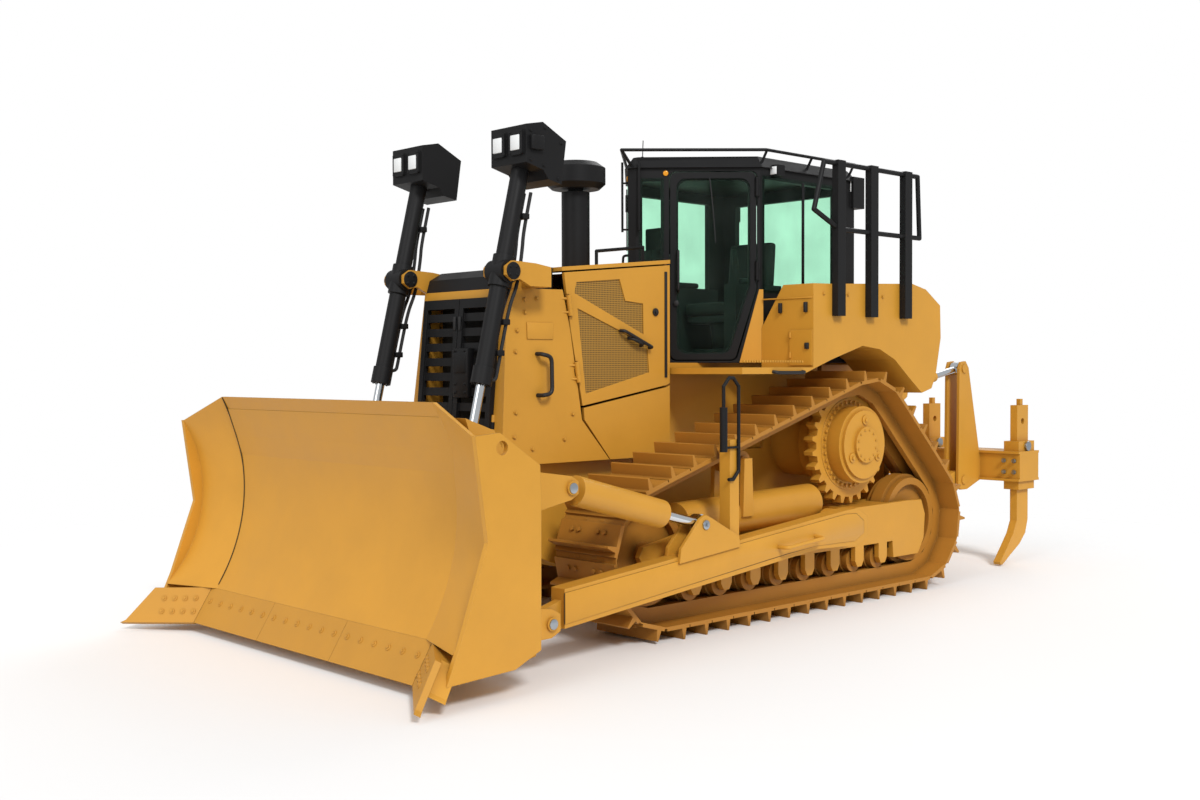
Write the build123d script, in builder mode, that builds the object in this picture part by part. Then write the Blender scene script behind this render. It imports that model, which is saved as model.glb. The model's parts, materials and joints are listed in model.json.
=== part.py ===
"""A crawler bulldozer with a semi-universal blade and a three-shank ripper.

Millimetres.  +X forward, +Y to the operator's left, +Z up, the ground at Z = 0.
The origin is on the ground, midway between the blade's tips and the ripper's beam.
Outlines are (x, z) pairs in a side view unless a comment says otherwise.
"""
from build123d import *
import math
import os

os.makedirs("parts", exist_ok=True)

SIDES = (("left", 1), ("right", -1))

# ---- running gear ---------------------------------------------------------------------
track_y = 995.0             # middle of each track from the machine's middle
shoe_width = 610.0
shoe_count = 41
grouser_height = 80.0
plate_rise = 80.0           # outer face of a shoe above the line of the chain's pins
plate_thickness = 30.0
shoe_gap_depth = 18.0
link_drop = 60.0            # the links' running face, below the line of the pins
link_width = 50.0
link_offset = 85.0          # middle of each row of links from the track's middle
idler_pitch_radius = 440.0
sprocket_pitch_radius = 480.0
front_idler_x = 1495.0
rear_idler_x = -1795.0
sprocket_x = -995.0
sprocket_z = 1290.0
sprocket_teeth = 25
sprocket_width = 90.0
tooth_rise = 20.0           # tooth tips above the line of the pins
tooth_depth = 55.0
roller_radius = 100.0
roller_count = 8
roller_first_x = 1050.0
roller_pitch = 336.0
carrier_radius = 85.0
carrier_x = 455.0
seat_gap = 0.3              # between a curved face and the piece that it runs on

# ---- track frames ---------------------------------------------------------------------
frame_half = 175.0          # half width of a roller frame
fork_inner = 130.0          # inner faces of the plates that carry rollers and idlers
frame_bottom = 442.0
frame_top = 640.0
recoil_radius = 148.0
pivot_x = -535.0            # pivot shaft and push-arm trunnions
pivot_z = 660.0
trunnion_radius = 75.0
pin_clearance = 0.5         # between a pin and the bore that turns on it

# ---- hull -----------------------------------------------------------------------------
hull_half = 430.0
hull_bottom = 450.0
hull_top = 1250.0
hull_front = 2330.0
hull_rear = -2050.0
rear_case_top = 1700.0
deck_z = 1935.0             # top of the platforms beside the cab
deck_thickness = 50.0
tank_low = 1960.0

# ---- nose, hood and engine doors ------------------------------------------------------
hood_half = 570.0
hood_rear = 690.0
hood_top_front = 2665.0
hood_top_rear = 2775.0
hood_sheet = 30.0
guard_front_low = 2380.0    # radiator guard's front face at its foot
guard_front_top = 2265.0
guard_top = 2500.0
guard_foot = 1250.0
guard_wall = 70.0
nose_top = 2655.0
door_gap = 10.0
door_sheet = 25.0
hinge_half = 25.0           # half length of a hinge's moving sleeve
hinge_clearance = 5.0
hinge_pin_share = 0.45      # pin's radius over the knuckle's
engine_hinge_radius = 20.0
grille_hinge_radius = 14.0
cab_hinge_radius = 18.0
cab_hinge_out = 10.0        # hinge line of a cab door, from its outer face

# ---- exhaust stack ----------------------------------------------------------------------
stack_x = 1330.0
stack_y = 180.0
stack_base_z = 2250.0       # on the engine
stack_radius = 108.0
stack_neck_radius = 60.0
stack_cap_radius = 230.0
stack_cap_low = 3300.0
stack_top = 3512.0

# ---- cab ------------------------------------------------------------------------------
cab_nose_x = 545.0
cab_nose_half = 45.0
cab_half = 760.0
cab_rear_x = -1450.0
cab_floor_z = 1975.0
cab_roof_z = 3560.0
roof_thickness = 95.0
cab_wall = 60.0
glass_thickness = 8.0
pane_clearance = 4.0
cab_door_start = 272.0      # along the slanting face, from the nose
cab_door_end = 990.0
cab_door_kick = 817.0       # where the sloping rear edge meets the sill
cab_door_kick_z = cab_floor_z + 595
cab_hinge_heights = (2720.0, cab_roof_z - 160)

# ---- fenders and tank -----------------------------------------------------------------
fender_outer = track_y + shoe_width / 2
fender_inner = cab_half + 15
fender_front = -170.0
fender_top = 2595.0
gutter_low = 2240.0         # foot of the slope between the fender's top and the cab
deck_front = 700.0

# ---- blade and push arms --------------------------------------------------------------
arm_clearance = 25.0        # between the tracks and the push arms
arm_inner = track_y + shoe_width / 2 + arm_clearance
arm_width = 130.0
arm_y = arm_inner + arm_width / 2
ball_x = 2725.0             # ball joints of the push arms on the blade
ball_z = 320.0
brace_rear_y = arm_y + 15
brace_rear_x = 1290.0
brace_rear_z = 830.0
brace_front_x = 2645.0
brace_front_y = arm_y + 95
brace_front_z = 1180.0
brace_radius = 98.0
blade_half = 1803.0
wing_seam = blade_half - 503
blade_skin = 30.0
edge_bottom = 76.0

# ---- lift cylinders -------------------------------------------------------------------
lift_y = 600.0
lift_trunnion_x = 2407.0
lift_trunnion_z = 2600.0
lift_eye_x = 2864.0
lift_eye_z = 700.0
lift_barrel_radius = 62.0
lift_rod_radius = 32.0
yoke_half = 95.0            # from the cylinder's axis to the yoke's inner faces
yoke_plate = 30.0

# ---- ripper ---------------------------------------------------------------------------
ripper_y = 592.0            # middle of each lower link and tower
link_front_x = -2333.0
link_front_z = 640.0
bracket_offset = 72.0       # rear bracket's plates, from the middle of the link
bracket_plate = 25.0
link_thickness = 90.0
beam_x = -3870.0
tower_pin_x = beam_x + 482
tower_low_z = 825.0
tower_height = 1095.0       # between the tower's two pins
link_pin_radius = 42.0
lift_lug_share = 0.52       # of the lower link, to the lift cylinders' lower pins
lift_lug_rise = 115.0       # of those pins above the line of the link's pins
lift_lug_x = link_front_x + lift_lug_share * (tower_pin_x - link_front_x)
lift_lug_z = link_front_z + lift_lug_share * (tower_low_z - link_front_z) + lift_lug_rise
ripper_lift_y = 400.0
ripper_lift_front_x = -2135.0
ripper_lift_front_z = 1700.0
ripper_lift_gap = 75.0      # each front plate's middle, from the cylinder's middle
beam_z = 960.0
beam_depth = 360.0
beam_height = 270.0
beam_half = 1110.0
shank_spacing = 1000.0
shank_thickness = 75.0
shank_width = 210.0


def side_plane(y):
    """The side view at y: local x is X, local y is Z."""
    return Plane(origin=(0, y, 0), x_dir=(1, 0, 0), z_dir=(0, -1, 0))


def prism(points, y, width, mode=Mode.ADD):
    """Adds an (x, z) outline, width wide about y, to the part being built."""
    with BuildSketch(side_plane(y), mode=Mode.PRIVATE) as outline:
        Polygon(*points, align=None)
    extrude(outline.sketch, amount=width / 2, both=True, mode=mode)


def drum(x, z, radius, y, width, mode=Mode.ADD):
    """Adds a cylinder along Y, width wide about y."""
    with BuildSketch(side_plane(y), mode=Mode.PRIVATE) as outline:
        with Locations((x, z)):
            Circle(radius)
    extrude(outline.sketch, amount=width / 2, both=True, mode=mode)


def knuckles(point, direction, radius):
    """Adds a hinge's fixed knuckles and pin, and clears room for the leaf's sleeve."""
    low, inner_low, inner_high, high = [
        tuple(point + direction * run) for run in (-3 * hinge_half, -hinge_half - seat_gap,
                                                   hinge_half + seat_gap, 3 * hinge_half)]
    bar(inner_low, inner_high, radius + hinge_clearance, Mode.SUBTRACT)
    bar(low, inner_low, radius)
    bar(inner_high, high, radius)
    bar(low, high, radius * hinge_pin_share)


def sleeve(point, direction, radius):
    """Adds the leaf's sleeve round the hinge pin and clears the fixed knuckles."""
    low, inner_low, inner_high, high = [
        tuple(point + direction * run) for run in (-3 * hinge_half - hinge_clearance, -hinge_half,
                                                   hinge_half, 3 * hinge_half + hinge_clearance)]
    bar(low, inner_low, radius + hinge_clearance, Mode.SUBTRACT)
    bar(inner_high, high, radius + hinge_clearance, Mode.SUBTRACT)
    bar(inner_low, inner_high, radius)
    bar(low, high, radius * hinge_pin_share + seat_gap, Mode.SUBTRACT)


def block(x_range, y_range, z_range, mode=Mode.ADD):
    """Adds a box between three pairs of limits."""
    sizes = [high - low for low, high in (x_range, y_range, z_range)]
    middle = [(low + high) / 2 for low, high in (x_range, y_range, z_range)]
    with Locations(tuple(middle)):
        Box(*sizes, mode=mode)


def bar(start, end, radius, mode=Mode.ADD):
    """Adds a round bar from one point to another."""
    run = Vector(*end) - Vector(*start)
    with BuildSketch(Plane(origin=start, z_dir=run), mode=Mode.PRIVATE) as section:
        Circle(radius)
    extrude(section.sketch, amount=run.length, mode=mode)


def spread(y_range, side):
    """The same range of y on the named side of the machine, in rising order."""
    return tuple(sorted(side * y for y in y_range))


# ---- the chain's path -----------------------------------------------------------------
# wheels in the order that the chain meets them: centre x, centre z, pitch radius
idler_z = idler_pitch_radius + plate_rise + grouser_height
WHEELS = (
    (front_idler_x, idler_z, idler_pitch_radius),
    (sprocket_x, sprocket_z, sprocket_pitch_radius),
    (rear_idler_x, idler_z, idler_pitch_radius),
)


def chain_segments():
    """Arcs and tangents of the loop of pins, anticlockwise in the side view."""
    headings = []
    for index, (x0, z0, r0) in enumerate(WHEELS):
        x1, z1, r1 = WHEELS[(index + 1) % len(WHEELS)]
        span = math.hypot(x1 - x0, z1 - z0)
        lean = math.asin((r0 - r1) / span)
        headings.append(math.atan2(z1 - z0, x1 - x0) - math.pi / 2 + lean)
    segments = []
    for index, (x0, z0, r0) in enumerate(WHEELS):
        sweep_start = headings[index - 1]
        sweep = (headings[index] - sweep_start) % (2 * math.pi)
        segments.append(("arc", (x0, z0, r0), sweep_start, sweep, r0 * sweep))
        x1, z1, r1 = WHEELS[(index + 1) % len(WHEELS)]
        turn = headings[index]
        start = (x0 + r0 * math.cos(turn), z0 + r0 * math.sin(turn))
        end = (x1 + r1 * math.cos(turn), z1 + r1 * math.sin(turn))
        run = math.hypot(end[0] - start[0], end[1] - start[1])
        segments.append(("line", start, end, run, run))
    return segments


SEGMENTS = chain_segments()
chain_length = sum(segment[-1] for segment in SEGMENTS)
chain_pitch = chain_length / shoe_count


def chain_point(travel):
    """The point of the chain's path at a distance along it."""
    left = travel % chain_length
    for kind, first, second, third, length in SEGMENTS:
        if left <= length:
            if kind == "arc":
                angle = second + third * left / length
                return (first[0] + first[2] * math.cos(angle),
                        first[1] + first[2] * math.sin(angle))
            share = left / length
            return (first[0] + (second[0] - first[0]) * share,
                    first[1] + (second[1] - first[1]) * share)
        left -= length
    return chain_point(0)


pins = [chain_point(index * chain_pitch) for index in range(shoe_count)]


def link_frames():
    """For each link: its first pin, its run to the next and its outward normal."""
    frames = []
    for index, (x0, z0) in enumerate(pins):
        x1, z1 = pins[(index + 1) % shoe_count]
        run = (x1 - x0, z1 - z0)
        size = math.hypot(*run)
        frames.append(((x0, z0), run, (run[1] / size, -run[0] / size)))
    return frames


def chain_offset(rise):
    """The ring of pins moved outward by rise."""
    frames = link_frames()
    ring = []
    for index, (pin, _, normal) in enumerate(frames):
        before = frames[index - 1][2]
        mean = (normal[0] + before[0], normal[1] + before[1])
        size = math.hypot(*mean)
        stretch = rise / (size / 2)
        ring.append((pin[0] + mean[0] / size * stretch, pin[1] + mean[1] / size * stretch))
    return ring


# one shoe: share of the pitch, height above the pins
SHOE = (
    (0.02, plate_rise - shoe_gap_depth),
    (0.02, plate_rise),
    (0.16, plate_rise),
    (0.21, plate_rise + grouser_height),
    (0.28, plate_rise + grouser_height),
    (0.34, plate_rise),
    (0.98, plate_rise),
    (0.98, plate_rise - shoe_gap_depth),
)
shoe_outline = [
    (pin[0] + run[0] * share + normal[0] * rise, pin[1] + run[1] * share + normal[1] * rise)
    for pin, run, normal in link_frames()
    for share, rise in SHOE
]
shoe_under = plate_rise - plate_thickness

for name, side in SIDES:
    with BuildPart() as track:
        prism(shoe_outline, side * track_y, shoe_width)
        prism(chain_offset(shoe_under), side * track_y, shoe_width, Mode.SUBTRACT)
        for row in (-1, 1):
            y = side * track_y + row * link_offset
            with BuildSketch(side_plane(y)) as links:
                Polygon(*chain_offset(shoe_under + plate_thickness / 3), align=None)
                Polygon(*chain_offset(-link_drop), align=None, mode=Mode.SUBTRACT)
            extrude(amount=link_width / 2, both=True)
    track.part.label = f"track_{name}"
    export_step(track.part, f"parts/track_{name}.step")

# ---- idlers, rollers and carrier rollers ------------------------------------------------
half_link = chain_pitch / (2 * idler_pitch_radius)
idler_radius = idler_pitch_radius * math.cos(half_link) - link_drop - seat_gap
roller_z = idler_z - idler_pitch_radius + link_drop + roller_radius + seat_gap
upper_run = SEGMENTS[1]
upper_slope = math.atan2(upper_run[2][1] - upper_run[1][1], upper_run[1][0] - upper_run[2][0])
carrier_line_z = upper_run[1][1] + (upper_run[1][0] - carrier_x) * math.tan(upper_slope)
carrier_z = carrier_line_z - (link_drop + carrier_radius + seat_gap) / math.cos(upper_slope)
tread_half = link_offset + link_width / 2 + 3
flange_half = link_offset - link_width / 2 - 5

# rollers: x, z, tread radius, flange rise
bottom_rollers = [
    (roller_first_x - roller_pitch * index, roller_z, roller_radius, 14)
    for index in range(roller_count)
]
top_roller = (carrier_x, carrier_z, carrier_radius, 12)

for name, side in SIDES:
    y = side * track_y
    with BuildPart() as rollers:
        for x, z, radius, rise in bottom_rollers + [top_roller]:
            drum(x, z, radius, y, 2 * tread_half)
            drum(x, z, radius + rise, y, 2 * flange_half)
            drum(x, z, radius * 0.55, y, 2 * fork_inner)
        for x in (front_idler_x, rear_idler_x):
            drum(x, idler_z, idler_radius, y, 2 * tread_half)
            for row in (-1, 1):
                dish_y = y + row * tread_half
                drum(x, idler_z, idler_radius - 60, dish_y, 120, Mode.SUBTRACT)
            drum(x, idler_z, idler_radius + 30, y, 2 * flange_half)
            drum(x, idler_z, 90, y, 2 * fork_inner)
    rollers.part.label = f"rollers_{name}"
    export_step(rollers.part, f"parts/rollers_{name}.step")

# ---- roller frames ----------------------------------------------------------------------
frame_box = ((-1420, frame_bottom), (1180, frame_bottom), (1180, 560), (930, frame_top),
             (-1420, frame_top))
rear_fork = ((-842, 560), (-842, 765), (-1650, 775), (-1882, 770), (-1940, 640),
             (-1920, 430), (-1833, 300), (-1460, 300), (-1445, frame_bottom))
front_fork = ((900, frame_bottom), (1180, frame_bottom), (1400, 510), (1600, 530),
              (1640, 600), (1600, 670), (1400, 700), (1180, 740), (900, 740))

for name, side in SIDES:
    y = side * track_y
    with BuildPart() as track_frame:
        prism(frame_box, y, 2 * frame_half)
        prism(rear_fork, y, 2 * frame_half)
        prism(front_fork, y, 2 * frame_half)
        for x in (front_idler_x, rear_idler_x):
            drum(x, idler_z, idler_radius + 45, y, 2 * fork_inner, Mode.SUBTRACT)
        for x, z, radius, rise in bottom_rollers:
            for row in (-1, 1):
                saddle_y = y + row * (fork_inner + frame_half) / 2
                prism(((x - 60, frame_bottom + 5), (x - 60, z), (x - 30, z - 50),
                       (x + 30, z - 50), (x + 60, z), (x + 60, frame_bottom + 5)),
                      saddle_y, frame_half - fork_inner)
        bar((-500, y, 835), (1090, y, 790), recoil_radius)
        for row in (-1, 1):
            post_y = y + row * (fork_inner + 20)
            prism(((carrier_x - 60, 800), (carrier_x + 60, 800), (carrier_x + 45, carrier_z + 30),
                   (carrier_x - 45, carrier_z + 30)), post_y, 40)
        stub = spread((track_y + frame_half - 20, arm_inner + arm_width - 20), side)
        drum(pivot_x, pivot_z, 130, side * (track_y + frame_half + 30), 100)
        drum(pivot_x, pivot_z, trunnion_radius, sum(stub) / 2, stub[1] - stub[0])
    track_frame.part.label = f"track_frame_{name}"
    export_step(track_frame.part, f"parts/track_frame_{name}.step")

# ---- final drives with their sprockets --------------------------------------------------
tooth_tip = sprocket_pitch_radius + tooth_rise
tooth_root = tooth_tip - tooth_depth
tooth_step = 360 / sprocket_teeth
# one tooth: share of the tooth's step, radius
TOOTH = ((0.0, tooth_root), (0.22, tooth_root), (0.38, tooth_tip), (0.62, tooth_tip),
         (0.78, tooth_root))
tooth_ring = [
    (sprocket_x + radius * math.cos(math.radians((index + share) * tooth_step)),
     sprocket_z + radius * math.sin(math.radians((index + share) * tooth_step)))
    for index in range(sprocket_teeth)
    for share, radius in TOOTH
]
drive_inner = 760.0
# hub sections outward along Y: start, end, radius
HUB = ((drive_inner, 905, 330), (900, 1045, 385), (1040, 1175, 320), (1170, 1200, 285),
       (1195, 1225, 150))

for name, side in SIDES:
    with BuildPart() as final_drive:
        prism(tooth_ring, side * track_y, sprocket_width)
        for start, end, radius in HUB:
            drum(sprocket_x, sprocket_z, radius, side * (start + end) / 2, end - start)
    final_drive.part.label = f"final_drive_{name}"
    export_step(final_drive.part, f"parts/final_drive_{name}.step")

# ---- hull ---------------------------------------------------------------------------------
hull_side = ((hull_rear, 620), (-1850, hull_bottom), (1650, hull_bottom), (2100, 620),
             (hull_front, 900), (hull_front, hull_top), (-600, hull_top),
             (-700, rear_case_top), (hull_rear, rear_case_top))

with BuildPart() as main_frame:
    prism(hull_side, 0, 2 * hull_half)
    drum(sprocket_x, sprocket_z, 290, 0, 2 * drive_inner)
    drum(pivot_x, pivot_z, 95, 0, 2 * (track_y - frame_half))
    block((930, 1070), (frame_half - track_y, track_y - frame_half), (500, 620))
    block((-1400, 640), (-400, 400), (hull_top - 10, cab_floor_z))
    block((-1980, -1460), (-400, 400), (rear_case_top - 10, tank_low))
main_frame.part.label = "main_frame"
export_step(main_frame.part, "parts/main_frame.step")

# ---- brackets behind the hull for the ripper's links and cylinders -------------------------------
bracket_side = ((hull_rear + 20, 500), (link_front_x - 60, 560), (link_front_x - 100, 640),
                (link_front_x - 60, 720), (hull_rear - 60, 900), (hull_rear - 60, 1500),
                (link_front_x - 70, 1660), (link_front_x - 90, 1740), (link_front_x - 40, 1820),
                (hull_rear + 20, 1690))
anchor_plate = 20.0
anchor_foot = rear_case_top - 240
anchor_head = rear_case_top - 5

for name, side in SIDES:
    with BuildPart() as ripper_bracket:
        for offset in (-bracket_offset, bracket_offset):
            prism(bracket_side, side * (ripper_y + offset), bracket_plate)
        block((hull_rear - 60, hull_rear + 20),
              spread((hull_half, ripper_y + bracket_offset), side), (560, 1380))
        for z in (link_front_z, link_front_z + tower_height):
            drum(link_front_x, z, link_pin_radius, side * ripper_y, 2 * bracket_offset)
        for offset, seat_x in ((-ripper_lift_gap, hull_rear), (ripper_lift_gap, hull_rear + 20)):
            prism(((seat_x, anchor_foot), (seat_x, anchor_head),
                   (ripper_lift_front_x + 30, ripper_lift_front_z + 65),
                   (ripper_lift_front_x - 40, ripper_lift_front_z + 50),
                   (ripper_lift_front_x - 65, ripper_lift_front_z - 20),
                   (ripper_lift_front_x - 40, ripper_lift_front_z - 60)),
                  side * (ripper_lift_y + offset), anchor_plate)
        block((hull_rear - 5, hull_rear + 20),
              spread((hull_half, ripper_lift_y + ripper_lift_gap + anchor_plate / 2), side),
              (1380 - 5, anchor_head))
        drum(ripper_lift_front_x, ripper_lift_front_z, link_pin_radius, side * ripper_lift_y,
             2 * ripper_lift_gap)
    ripper_bracket.part.label = f"ripper_bracket_{name}"
    export_step(ripper_bracket.part, f"parts/ripper_bracket_{name}.step")

with BuildPart() as engine_block:
    block((800, 1750), (-330, 330), (hull_top, 2250))
engine_block.part.label = "engine_block"
export_step(engine_block.part, "parts/engine_block.step")

# ---- radiator guard -----------------------------------------------------------------------
def guard_face(z):
    """The x of the guard's leaning front face at a height."""
    share = (z - guard_foot) / (guard_top - guard_foot)
    return guard_front_low + (guard_front_top - guard_front_low) * share


guard_half_low = 560.0
guard_half_top = 485.0
kink_low = 1600.0           # the guard's sides run in from here to the front face
kink_top = 1815.0
opening_half = 400.0
opening_low = 1330.0
opening_top = 2440.0
core_depth = 120.0
seam = ((1350, guard_foot), (1628, 1553), (1743, 2209), (1815, guard_top))
engine_hinge_axis = Vector(160, 0, 983).normalized()
engine_hinge_runs = (250.0, 740.0)
grille_seat = 0.5           # the closed grille lies this far in front of the guard
grille_lean = math.degrees(math.atan2(guard_front_low - guard_front_top,
                                      guard_top - guard_foot))
grille_normal = Vector(math.cos(math.radians(grille_lean)), 0,
                       math.sin(math.radians(grille_lean)))
grille_hinge_axis = Vector(-grille_normal.Z, 0, grille_normal.X)
grille_hinge_runs = (200.0, 950.0)
leaf_start = 4.0            # each leaf's free edge and hinged edge, from the middle
leaf_end = opening_half + 30


def engine_hinge(side):
    """The foot of an engine door's hinge line."""
    return Vector(1640, side * (hood_half + 12), 1657)


def guard_half(x, z):
    """Half width of the guard at a place behind its front face."""
    share = (z - guard_foot) / (guard_top - guard_foot)
    front_half = guard_half_low + (guard_half_top - guard_half_low) * share
    kink = kink_low + (kink_top - kink_low) * share
    return hood_half - (hood_half - front_half) * max(0, x - kink) / (guard_face(z) - kink)


def grille_hinge(side):
    """The foot of a grille leaf's hinge line, at its rear outer edge."""
    return Vector(guard_face(opening_low) + grille_seat, side * leaf_end, opening_low)


with BuildPart() as radiator_guard:
    for z, kink, front, half in ((guard_foot, kink_low, guard_front_low, guard_half_low),
                                 (guard_top, kink_top, guard_front_top, guard_half_top)):
        with BuildSketch(Plane.XY.offset(z)):
            Polygon((1350, -hood_half), (kink, -hood_half), (front, -half), (front, half),
                    (kink, hood_half), (1350, hood_half), align=None)
    loft(ruled=True)
    prism(seam + ((1000, guard_top), (1000, guard_foot)), 0, 1400, Mode.SUBTRACT)
    block((1300, guard_front_top - guard_wall), (guard_wall - guard_half_top,
          guard_half_top - guard_wall), (guard_foot - 1, guard_top - guard_wall), Mode.SUBTRACT)
    block((guard_front_top - guard_wall - 200, guard_front_low + 10),
          (-opening_half, opening_half), (opening_low, opening_top - 30), Mode.SUBTRACT)
    for side in (1, -1):
        for run in engine_hinge_runs:
            at = engine_hinge(side) + engine_hinge_axis * run
            seat = guard_half(at.X + 90, at.Z) - 15
            for offset in (-2 * hinge_half, 2 * hinge_half):
                knuckle = at + engine_hinge_axis * offset
                bar(tuple(knuckle), (knuckle.X + 90, side * seat, knuckle.Z), 9)
            knuckles(at, engine_hinge_axis, engine_hinge_radius)
        for run in grille_hinge_runs:
            knuckles(grille_hinge(side) + grille_hinge_axis * run, grille_hinge_axis,
                     grille_hinge_radius)
radiator_guard.part.label = "radiator_guard"
export_step(radiator_guard.part, "parts/radiator_guard.step")

with BuildPart() as radiator_core:
    core_front = guard_front_top - guard_wall - 40
    block((core_front - core_depth, core_front), (guard_wall - guard_half_top,
          guard_half_top - guard_wall), (guard_foot, guard_top - guard_wall))
radiator_core.part.label = "radiator_core"
export_step(radiator_core.part, "parts/radiator_core.step")

# the hinged grille lies on the leaning face; its outline is across (y) and up the face
grille_plane = Plane(origin=(guard_face(opening_low) + grille_seat, 0, opening_low),
                     x_dir=(0, 1, 0), z_dir=grille_normal)
grille_rise = (opening_top - 30 - opening_low) / math.cos(math.radians(grille_lean))
grille_rim = 45.0
grille_depth = 40.0
slat_count = 9
slat_width = 60.0
leaf_middle = (leaf_start + leaf_end) / 2

for name, side in SIDES:
    with BuildPart() as grille_door:
        with BuildSketch(grille_plane):
            with Locations((side * leaf_middle, grille_rise / 2)):
                Rectangle(leaf_end - leaf_start, grille_rise + 50)
                Rectangle(leaf_end - leaf_start - 2 * grille_rim, grille_rise - 2 * grille_rim,
                          mode=Mode.SUBTRACT)
        extrude(amount=grille_depth)
        with BuildSketch(grille_plane.offset(10)):
            for index in range(slat_count):
                with Locations((side * leaf_middle, grille_rise * (index + 1) / (slat_count + 1))):
                    Rectangle(leaf_end - leaf_start - grille_rim, slat_width)
        extrude(amount=12)
        for run in grille_hinge_runs:
            sleeve(grille_hinge(side) + grille_hinge_axis * run, grille_hinge_axis,
                   grille_hinge_radius)
    grille_door.part.label = f"grille_door_{name}"
    export_step(grille_door.part, f"parts/grille_door_{name}.step")

# ---- hood, nose and bulkhead ----------------------------------------------------------------
hood_front = 1819.0
hood_side = ((hood_front, hood_top_front - hood_sheet), (hood_front, hood_top_front),
             (hood_rear, hood_top_rear), (hood_rear, hood_top_rear - hood_sheet))
nose_side = ((hood_front + door_gap, guard_top), (hood_front + door_gap, hood_top_front),
             (2120, nose_top), (2230, nose_top - 60), (guard_front_top - 5, guard_top))

with BuildPart() as hood:
    prism(hood_side, 0, 2 * hood_half)
    with Locations((stack_x, stack_y, hood_top_rear)):
        Cylinder(stack_radius + seat_gap, 400, mode=Mode.SUBTRACT)
    block((hood_rear, hood_rear + hood_sheet), (-hood_half + 40, hood_half - 40),
          (hull_top, hood_top_rear - hood_sheet + 5))
hood.part.label = "hood"
export_step(hood.part, "parts/hood.step")

with BuildPart() as nose_cover:
    prism(nose_side, 0, 2 * (lift_y - yoke_half - yoke_plate))
nose_cover.part.label = "nose_cover"
export_step(nose_cover.part, "parts/nose_cover.step")

# ---- engine doors, hinged along the guard's seam --------------------------------------------
engine_door_outline = ((1622, 1657), (hood_rear + 45, 1800), (hood_rear + 5, 1815),
                       (hood_rear + 5, hood_top_rear - hood_sheet - 12),
                       (1800, hood_top_front - hood_sheet - 10), (1737, 2209))
upper_window = ((1680, 2560), (1240, 2600), (1180, 2440), (990, 2425), (985, 2190), (1700, 2480))
lower_window = ((1670, 2370), (945, 2110), (925, 1900), (1590, 1745))

for name, side in SIDES:
    with BuildPart() as engine_door:
        y = side * (hood_half - door_sheet / 2)
        prism(engine_door_outline, y, door_sheet)
        for window in (upper_window, lower_window):
            prism(window, side * (hood_half + door_sheet / 2 - 12), door_sheet, Mode.SUBTRACT)
        for run in engine_hinge_runs:
            sleeve(engine_hinge(side) + engine_hinge_axis * run, engine_hinge_axis,
                   engine_hinge_radius)
    engine_door.part.label = f"engine_door_{name}"
    export_step(engine_door.part, f"parts/engine_door_{name}.step")

side_panel_outline = ((1610, 1640), (hood_rear + 45, 1783), (hood_rear + 5, 1798),
                      (hood_rear + 5, hull_top), (1340, hull_top), (1603, 1553))
with BuildPart() as side_panels:
    for side in (1, -1):
        prism(side_panel_outline, side * (hood_half - door_sheet / 2), door_sheet)
        block((hood_rear + hood_sheet, 1340), spread((hull_half, hood_half - door_sheet), side),
              (hull_top, hull_top + 30))
side_panels.part.label = "side_panels"
export_step(side_panels.part, "parts/side_panels.step")

# ---- exhaust stack ----------------------------------------------------------------------------
# half section of the stack with its cap: distance from the axis, height
stack_section = ((0, stack_base_z), (stack_radius, stack_base_z),
                 (stack_radius, stack_cap_low - 22), (stack_neck_radius, stack_cap_low - 16),
                 (stack_neck_radius, stack_cap_low), (stack_cap_radius - 45, stack_cap_low),
                 (stack_cap_radius, stack_cap_low + 40), (stack_cap_radius, stack_top - 50),
                 (stack_cap_radius - 60, stack_top - 8), (0, stack_top))
with BuildPart() as exhaust_stack:
    with BuildSketch(Plane(origin=(stack_x, stack_y, 0), x_dir=(1, 0, 0), z_dir=(0, -1, 0))):
        Polygon(*stack_section, align=None)
    revolve(axis=Axis((stack_x, stack_y, 0), (0, 0, 1)))
exhaust_stack.part.label = "exhaust_stack"
export_step(exhaust_stack.part, "parts/exhaust_stack.step")

# ---- cab ----------------------------------------------------------------------------------------
post_x = cab_nose_x - (cab_half - cab_nose_half)


def cab_plan(inset):
    """The cab's outline seen from above, drawn in by inset."""
    slant = inset * math.tan(math.radians(22.5))
    nose_half = cab_nose_half - slant
    return ((cab_nose_x - inset, nose_half), (post_x - slant, cab_half - inset),
            (cab_rear_x + inset, cab_half - inset), (cab_rear_x + inset, inset - cab_half),
            (post_x - slant, inset - cab_half), (cab_nose_x - inset, -nose_half))


def slant_plane(side, depth=0):
    """The cab's slanting face: local y is up and side * local x runs aft from the nose."""
    normal = Vector(1, side, 0).normalized()
    corner = Vector(cab_nose_x, side * cab_nose_half, 0) - normal * depth
    return Plane(origin=corner, x_dir=(-side, 1, 0), z_dir=normal)


def cab_hinge(side, z):
    """A point on a cab door's hinge line, outside the slanting face."""
    normal = Vector(1, side, 0).normalized()
    aft = Vector(-1, side, 0).normalized()
    return (Vector(cab_nose_x, side * cab_nose_half, z) + aft * (cab_door_end - 2)
            + normal * cab_hinge_out)


# cab door: distance aft from the nose, height
def cab_door_outline(inset):
    """The door's outline on the slanting face, drawn in by inset."""
    low = cab_floor_z + 15 + inset
    high = cab_roof_z - 28 - inset
    front = cab_door_start + inset
    rear = cab_door_end - inset
    kick = cab_door_kick - inset
    return ((front, low), (kick, low), (rear, cab_door_kick_z + inset * 0.4), (rear, high),
            (front, high))


def door_face(side, inset, radius, mode=Mode.ADD):
    """Adds the door's outline with round corners to the sketch being drawn."""
    with BuildSketch(Plane.XY, mode=Mode.PRIVATE) as outline:
        Polygon(*[(side * x, z) for x, z in cab_door_outline(inset)], align=None)
        fillet(outline.vertices(), radius)
    add(outline.sketch, mode=mode)


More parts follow.
